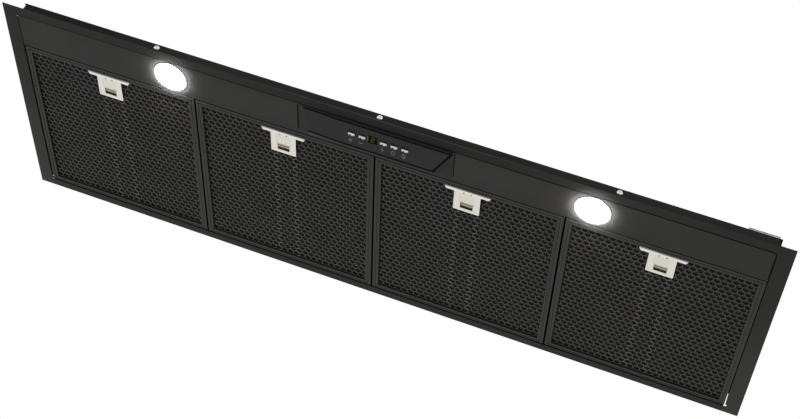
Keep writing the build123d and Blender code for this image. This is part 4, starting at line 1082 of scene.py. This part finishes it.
def key_symbols(size, level, places, row):
    """Star, minus, plus and two rings beside the keys."""
    bm = bmesh.new()
    thin = 0.06 * MM
    spots = [Vector((x + size.symbol_shift, row, level)) for x in places]
    for spot, turns in zip(spots, ((30, 90, 150), (0,), (0, 90))):
        for turn in turns:
            stroke_block(bm, spot, size.symbol, size.stroke, thin, turn)
    ring_mark(bm, spots[3], size.symbol / 2, size.stroke * 0.8, thin)
    ring_mark(bm, spots[4], size.symbol / 2, size.stroke * 1.3, thin)
    about_row = Matrix.Translation((0, -row, 0))
    bmesh.ops.scale(bm, vec=(1, size.symbol_stretch, 1), verts=bm.verts, space=about_row)
    return bm


def digit_two(size, centre):
    """The digit 2 as five strokes of a segment display, read from the front of the hood."""
    bm = bmesh.new()
    wide, tall, thick = size.digit_width, size.digit_height, size.digit_stroke
    thin = 0.05 * MM
    for level in (-tall / 2, 0.0, tall / 2):
        stroke_block(bm, centre + Vector((0, level, 0)), wide - thick, thick, thin)
    for side in (1, -1):
        place = centre + Vector((side * wide / 2, -side * tall / 4, 0))
        stroke_block(bm, place, tall / 2 - thick, thick, thin, 90)
    return bm


def shape_cover_face(bm, size):
    """Slant the face's left end and move its rear edge out; gives where the left end lies."""
    low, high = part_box("control_panel")
    face = [v for v in bm.verts if v.co.z < low.z + 0.01 * MM]
    left_zone = min(v.co.x for v in face) + 8.0 * MM
    rear_zone = max(v.co.y for v in face) - 3.0 * MM
    right_slant = 0.56
    for vert in face:
        deep = (vert.co.y - low.y) / (high.y - low.y)
        if vert.co.x < left_zone:
            vert.co.x += deep * size.slope_rear - (1 - deep) * size.slope_front
        if vert.co.y > rear_zone:
            vert.co.y += size.rear_reach
            if vert.co.x > 0:
                vert.co.x -= size.rear_reach * right_slant
    return min(v.co.x for v in face)


def fall_back(bm, size, end):
    """Bend the cover's left part back towards the fascia."""
    bend = -size.bend
    bmesh.ops.bisect_plane(
        bm, geom=everything(bm), plane_co=Vector((bend, 0, 0)), plane_no=X_AXIS
    )
    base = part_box("front_fascia")[0].z
    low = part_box("control_panel")[0].z
    for vert in bm.verts:
        if vert.co.x < bend and vert.co.z < base - 0.01 * MM:
            share = (vert.co.x - bend) / (end - bend)
            vert.co.z += share * size.fall * (base - vert.co.z) / (base - low)


def cover_outline(cover, size):
    """Strip of painted shade along the face's front, rear and right end, a hair proud of the face.
    """
    bm = cover.copy()
    level = min(v.co.z for v in bm.verts)
    flat = set(lower_faces(bm, level))
    border = [
        e for e in bm.edges
        if sum(f in flat for f in e.link_faces) == 1 and e.calc_length() > 30 * MM
    ]
    lines = []
    for way in (-Y_AXIS, Y_AXIS, Vector((1, 0.4, 0))):
        edge = max(border, key=lambda e: (e.verts[0].co + e.verts[1].co).dot(way))
        start = edge.verts[0].co
        direction = edge.verts[1].co - start
        normal = Vector((direction.y, -direction.x, 0)).normalized()
        if normal.dot(way) < 0:
            normal.negate()
        lines.append((start - normal * size.outline, normal))
    score(bm, level, lines)
    strip = {
        f for f in lower_faces(bm, level)
        if any((f.calc_center_median() - point).dot(normal) >= 0 for point, normal in lines)
    }
    rest = [f for f in bm.faces if f not in strip]
    bmesh.ops.delete(bm, geom=rest, context="FACES")
    bmesh.ops.translate(bm, verts=bm.verts, vec=(0, 0, -size.outline_proud))
    bmesh.ops.solidify(bm, geom=bm.faces[:], thickness=size.outline_proud)
    return bm


def cover_joint(size):
    """Dark joints where the cover's plate meets the fascia at both ends."""
    low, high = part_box("control_panel")
    level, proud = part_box("front_fascia")[0].z, size.outline_proud
    front, rear = low.y + 1.5 * MM, high.y - 7.5 * MM
    bm = bmesh.new()
    for left, right in ((low.x - size.joint_left, low.x), (high.x, high.x + size.joint_right)):
        block(bm, Vector((left, front, level - proud)), Vector((right, rear, level + proud)))
    return bm


def make_cover(size):
    """Control cover with painted shade along its face's edges and the joints at its ends."""
    cover = solid_copy("control_panel")
    end = shape_cover_face(cover, size)
    outline = cover_outline(cover, size)
    fall_back(cover, size, end)
    fall_back(outline, size, end)
    piece_from(outline, "cover_outline", "seam_shadow")
    piece_from(cover_joint(size), "cover_joint", "seam_shadow")
    ease_edges(cover, size.cover_edge, 14.0, 3)
    piece_from(
        cover, "control_cover", "panel_cover", replaced=("control_panel",),
        sharpest=35.0,
    )


def make_controls():
    """Control cover, keys, symbols and display."""
    size = sizes("controls")
    make_cover(size)
    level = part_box("control_panel")[0].z
    half = mm(6.0, 4.25, 0)
    places = []
    for number in KEYS:
        button, body = f"button_{number}", f"key_{number}"
        low, high, middle = extent(button)
        places.append(middle.x)
        base, top = Vector((middle.x, middle.y, low.z)), Vector((middle.x, middle.y, high.z))
        cap = key_cap(base - half, top + half, level, size)
        piece_from(cap, body + "_cap", "key_black", body, (button,), 40.0)
        # Mirror metal shaped as a painted glint on the dark cap.
        glint_inlay = key_plating(middle, low.z)
        piece_from(glint_inlay, body + "_plating", "plated_key", body, sharpest=40.0)
    low, high, middle = extent("display_module")
    key_row = extent("button_1")[2].y
    symbols = key_symbols(size, level, places, key_row + size.symbol_inset)
    piece_from(symbols, "key_symbols", "printed_mark")
    digit = digit_two(size, Vector((middle.x, key_row, low.z)))
    piece_from(digit, "display_digit", "lit_segment")
    # Painted highlight: a light strip along the display's left edge.
    outer, inner, shorter, proud = 0.9 * MM, 0.2 * MM, 2.5 * MM, 0.03 * MM
    rim = bmesh.new()
    block(
        rim, Vector((low.x - outer, low.y + shorter, level - proud)),
        Vector((low.x - inner, high.y - shorter, level + proud)),
    )
    piece_from(rim, "display_rim", "printed_mark")
    dress("smoked_window", "display_module")
    dress("solder_mask", "control_board")
    dress("moulded", "key_switches")


# ---- Lamps -----------------------------------------------------------------------------------


def make_lamps():
    """Bezels, lit glasses and cast bodies of the two lamps."""
    size = sizes("lamps")
    radius = size.lens_radius
    for side in SIDES:
        lamp = "lamp_" + side
        low, high, middle = extent(lamp + "_lens")
        eased_solid(lamp + "_bezel", size.edge, "bezel_coat")
        glow = "lit_glass_" + side
        lit_glass(glow, middle, radius, size.glow)
        thick = high.z - low.z
        profile = [
            (0.0, -size.dome),
            (radius * 0.5, -size.dome * 0.75),
            (radius * 0.85, -size.dome * 0.2),
            (radius - 0.5 * MM, 0.05 * MM),
            (radius - 0.1 * MM, 0.3 * MM),
            (radius, 0.7 * MM),
            (radius, thick),
            (0.0, thick),
        ]
        glass = turned(bmesh.new(), profile, Vector((middle.x, middle.y, low.z)), 64)
        piece_from(
            glass, lamp + "_glass", glow, replaced=(lamp + "_lens",), sharpest=40.0
        )
        dress("cast_aluminium", lamp + "_body")
        place = (middle.x, middle.y, low.z - size.halo_drop)
        spill = area_light("spill_" + side, "DISK", 2 * size.halo_radius, size.halo, place)
        spill.rotation_euler = (math.pi, 0, 0)
        spill.visible_camera = False


def area_light(name, shape, width, power, place):
    """Area light that no glossy surface mirrors."""
    data = bpy.data.lights.new(name, "AREA")
    data.shape, data.size, data.energy = shape, width, power
    light = link_object(name, data)
    light.location = place
    light.visible_glossy = False
    return light


# ---- Fasteners -------------------------------------------------------------------------------

# Profile of a pan head from its crown to its seat, by its radius and height.
PAN_HEAD = ((0.0, 1.0), (0.45, 0.95), (0.78, 0.74), (0.95, 0.42), (1.0, 0.12), (0.98, 0.0))
FRONT_SCREWS = 3


def make_fasteners():
    """Pan-head screws in front and hex-head screws on the housing."""
    size = sizes("fasteners")
    low, high, middle = extent("front_screws")
    shank = size.shank_radius
    profile = [(wide * size.head_radius, tall * size.head_height) for wide, tall in PAN_HEAD]
    profile += [(shank, 0.0), (shank, -size.shank), (0.0, -size.shank)]
    seat = low.y + size.head_height
    left = low.x + size.head_radius
    step = ((high.x - size.head_radius - left) / (FRONT_SCREWS - 1), 0, 0)
    heads = turned(bmesh.new(), profile, Vector(), 32)
    at_seat = Matrix.Translation((left, seat, middle.z)) @ TO_FRONT
    bmesh.ops.transform(heads, matrix=at_seat, verts=heads.verts)
    repeat(heads, FRONT_SCREWS, step)
    slots = []
    for degrees in (20, 110):
        slot = bmesh.new()
        place = Matrix.Translation((left, low.y, middle.z))
        turn = Matrix.Rotation(math.radians(degrees), 4, "Y")
        cube(slot, (2 * size.recess, 2 * size.recess_depth, size.recess_width), place @ turn)
        repeat(slot, FRONT_SCREWS, step)
        slots.append(slot)
    screws = piece_from(
        heads, "front_screw_heads", "screw_zinc", replaced=("front_screws",)
    )
    cut_away(screws, slots)
    shade_by_area(screws, 35.0)
    make_cover_screws(size)


def make_cover_screws(size):
    """Hex heads with washer faces on the feet of the hood and the motor box."""
    bm = bmesh.new()
    foot, edge = 1.0 * MM, size.inset
    parts = (
        (size.washer_radius, 0.0, size.washer, 24),
        (size.hex_radius, size.washer, size.cover_height - size.washer, 6),
    )
    for node in ("plenum_hood", "motor_box"):
        low, high, middle = extent(node)
        for y in (low.y + edge, high.y - edge):
            for x in (low.x + edge, middle.x, high.x - edge):
                for radius, base, height, sides in parts:
                    place = Matrix.Translation((x, y, low.z + foot + base + height / 2))
                    disc(bm, place, radius, height, sides, 0.96)
    piece_from(
        bm, "cover_screw_heads", "screw_zinc", replaced=("cover_screws",),
        sharpest=30.0,
    )


# ---- Housing ---------------------------------------------------------------------------------


def make_housing():
    """Hood, motor box, collar, blower and terminal box, with pressed beads on the hood."""
    size = sizes("housing")
    for node in ("plenum_hood", "motor_box"):
        eased_solid(node, size.edge, "housing_coat")
    dress(
        "moulded", "duct_collar", "damper_flap_front", "damper_flap_rear", "cable_gland",
        "scroll_casing",
    )
    dress("steel", "motor", "motor_shaft", "damper_pin")
    dress("zinc", "motor_bracket")
    dress("impeller_grey", "impeller")
    dress("capacitor_case", "run_capacitor")
    eased_solid("terminal_box", size.terminal_edge, "zinc")
    punch_terminal_vents(size)
    press_beads(size)


def punch_terminal_vents(size):
    """Two staggered rows of dark discs along the terminal box's front, painted as the shade inside
    small vents.
    """
    low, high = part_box("terminal_box")
    left, top, row_step, height = low.x + 2.2 * MM, high.z - 1.6 * MM, 2.2 * MM, 0.06 * MM
    bm = bmesh.new()
    for row in range(2):
        for number in range(size.vents):
            x = left + (number + row / 2) * size.vent_pitch
            place = Matrix.Translation((x, low.y, top - row_step * row))
            disc(bm, place @ TO_FRONT, size.vent_radius, height, 8)
    piece_from(bm, "terminal_vents", "seam_shadow")


def press_beads(size):
    """Long rounded beads that stiffen the hood's top on both sides of the motor box."""
    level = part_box("plenum_hood")[1].z
    _, box_high, box_middle = extent("motor_box")
    beside_box = (box_high.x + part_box("plenum_hood")[1].x) / 2
    half = Vector((size.bead_length / 2, size.bead_width / 2, 0))
    root = Vector((0, 0, 0.3 * MM))
    rise = Vector((0, 0, size.bead_height))
    bm = bmesh.new()
    for x in (-beside_box, beside_box):
        for number in range(size.beads):
            y = box_middle.y + (number - (size.beads - 1) / 2) * size.bead_spacing
            place = Vector((x, y, level))
            rounded_block(
                bm, place - half - root, place + half + rise, size.bead_width * 0.49, 6
            )
    crest = level + size.bead_height - 0.01 * MM
    upper = [e for e in bm.edges if all(v.co.z > crest for v in e.verts)]
    round_off(bm, upper, size.bead_height * 0.9, 4, clamped=True)
    piece_from(bm, "hood_beads", "housing_coat", sharpest=40.0)


# ---- Stage -----------------------------------------------------------------------------------

WHITE = (1.0, 1.0, 1.0, 1)
CAMERA_PLACE = (0.5364, -1.7308, -1.3566)
CAMERA_TURN = tuple(math.radians(angle) for angle in (130.980, -21.900, -1.835))


def make_world(size):
    """Plain white for the viewer and for mirrors, and a soft even light for the hood."""
    scene = bpy.context.scene
    scene.world = scene.world or bpy.data.worlds.new("Room")
    scene.world.use_nodes = True
    tree = scene.world.node_tree
    tree.nodes.clear()
    path = shader_node(tree, "LightPath")
    seen = path["Is Camera Ray"]
    for ray in ("Is Glossy Ray", "Is Transmission Ray"):
        inputs = {0: seen, 1: path[ray]}
        seen = shader_node(tree, "Math", inputs, operation="ADD", use_clamp=True)["Value"]
    soft, white = (
        shader_node(tree, "Background", {"Color": WHITE, "Strength": strength})["Background"]
        for strength in (size.ambient, 1.0)
    )
    mixed = shader_node(tree, "MixShader", {"Fac": seen, 1: soft, 2: white})["Shader"]
    shader_node(tree, "OutputWorld", {"Surface": mixed})


def make_floor(size):
    """Plain pale floor well below the hood, which keeps its shadow."""
    bm = bmesh.new()
    place = Matrix.Translation((0, 0, CAD_BOX[0].z - size.floor_drop))
    bmesh.ops.create_grid(
        bm, x_segments=1, y_segments=1, size=size.floor_size / 2, matrix=place
    )
    floor = mesh_object("floor", bm)
    Finish(
        "pale_floor", Base_Color=(0.8, 0.8, 0.8, 1), Roughness=0.9, Specular_IOR_Level=0.0,
        Emission_Color=WHITE, Emission_Strength=0.25,
    )
    floor.data.materials.append(bpy.data.materials["pale_floor"])


def softbox(name, place, target, edge, power):
    """Square area light that faces the hood."""
    light = area_light(name, "SQUARE", edge, power, place)
    facing = Vector(target) - Vector(place)
    light.rotation_euler = facing.to_track_quat("-Z", "Y").to_euler()


def make_camera(size):
    """Camera below, in front and to the right, rolled as in the photograph."""
    data = bpy.data.cameras.new("camera")
    data.sensor_width = 36.0
    data.lens = size.lens
    data.clip_end = 200.0
    camera = link_object("camera", data)
    camera.location = CAMERA_PLACE
    camera.rotation_euler = CAMERA_TURN
    bpy.context.scene.camera = camera


def make_stage():
    """Floor, world, lights and camera."""
    size = sizes("stage")
    bpy.context.scene.view_settings.view_transform = "Standard"
    make_world(size)
    make_floor(size)
    softbox("softbox_below", (-1.2, 3.0, -4.6), (0, 0, 0), 3.0, size.key)
    softbox("softbox_above", (0.8, 1.0, 2.6), (0, 0, 0.1), 2.0, size.top)
    make_camera(size)


# ---- Operators -------------------------------------------------------------------------------


class HOOD_OT_finishes(bpy.types.Operator):
    """Make the finishes of all pieces"""

    bl_idname = "hood.finishes"
    bl_label = "Finishes"

    def execute(self, context):
        make_finishes()
        return {"FINISHED"}


class HOOD_OT_trim(bpy.types.Operator):
    """Make the trim frame, fascia and deck"""

    bl_idname = "hood.trim"
    bl_label = "Trim and fascia"

    def execute(self, context):
        make_trim()
        return {"FINISHED"}


class HOOD_OT_filters(bpy.types.Operator):
    """Make the four grease filters"""

    bl_idname = "hood.filters"
    bl_label = "Grease filters"

    def execute(self, context):
        make_filters()
        return {"FINISHED"}


class HOOD_OT_latches(bpy.types.Operator):
    """Make the filter latches"""

    bl_idname = "hood.latches"
    bl_label = "Latches"

    def execute(self, context):
        make_latches()
        return {"FINISHED"}


class HOOD_OT_controls(bpy.types.Operator):
    """Make the control cover, keys, symbols and display"""

    bl_idname = "hood.controls"
    bl_label = "Controls"

    def execute(self, context):
        make_controls()
        return {"FINISHED"}


class HOOD_OT_lamps(bpy.types.Operator):
    """Make the two lamps"""

    bl_idname = "hood.lamps"
    bl_label = "Lamps"

    def execute(self, context):
        make_lamps()
        return {"FINISHED"}


class HOOD_OT_fasteners(bpy.types.Operator):
    """Make the screws"""

    bl_idname = "hood.fasteners"
    bl_label = "Fasteners"

    def execute(self, context):
        make_fasteners()
        return {"FINISHED"}


class HOOD_OT_housing(bpy.types.Operator):
    """Make the housing, blower and collar"""

    bl_idname = "hood.housing"
    bl_label = "Housing"

    def execute(self, context):
        make_housing()
        return {"FINISHED"}


class HOOD_OT_stage(bpy.types.Operator):
    """Make the floor, lights and camera"""

    bl_idname = "hood.stage"
    bl_label = "Stage"

    def execute(self, context):
        make_stage()
        return {"FINISHED"}


STEPS = (
    "finishes", "trim", "filters", "latches", "controls", "lamps", "fasteners", "housing", "stage",
)

GROUPS = {
    "hood_finishes": HoodFinishes,
    "hood_mesh": HoodMesh,
    "hood_filters": HoodFilters,
    "hood_latches": HoodLatches,
    "hood_controls": HoodControls,
    "hood_lamps": HoodLamps,
    "hood_fasteners": HoodFasteners,
    "hood_housing": HoodHousing,
    "hood_stage": HoodStage,
}


class HOOD_PT_pieces(bpy.types.Panel):
    """Steps and sizes of the hood"""

    bl_idname = "HOOD_PT_pieces"
    bl_label = "Range hood insert"
    bl_space_type = "VIEW_3D"
    bl_region_type = "UI"
    bl_category = "Hood"

    def draw(self, context):
        for step in STEPS:
            self.layout.operator("hood." + step)
        for name, group in GROUPS.items():
            box = self.layout.box()
            box.label(text=group.__doc__)
            for size in group.__annotations__:
                box.prop(getattr(context.scene, name), size)


CLASSES = (
    *GROUPS.values(),
    HOOD_OT_finishes,
    HOOD_OT_trim,
    HOOD_OT_filters,
    HOOD_OT_latches,
    HOOD_OT_controls,
    HOOD_OT_lamps,
    HOOD_OT_fasteners,
    HOOD_OT_housing,
    HOOD_OT_stage,
    HOOD_PT_pieces,
)


def register():
    for item in CLASSES:
        bpy.utils.register_class(item)
    for name, group in GROUPS.items():
        setattr(bpy.types.Scene, name, PointerProperty(type=group))


def unregister():
    for name in GROUPS:
        delattr(bpy.types.Scene, name)
    for item in reversed(CLASSES):
        bpy.utils.unregister_class(item)


def main():
    register()
    for step in STEPS:
        getattr(bpy.ops.hood, step)()


if __name__ == "__main__":
    main()
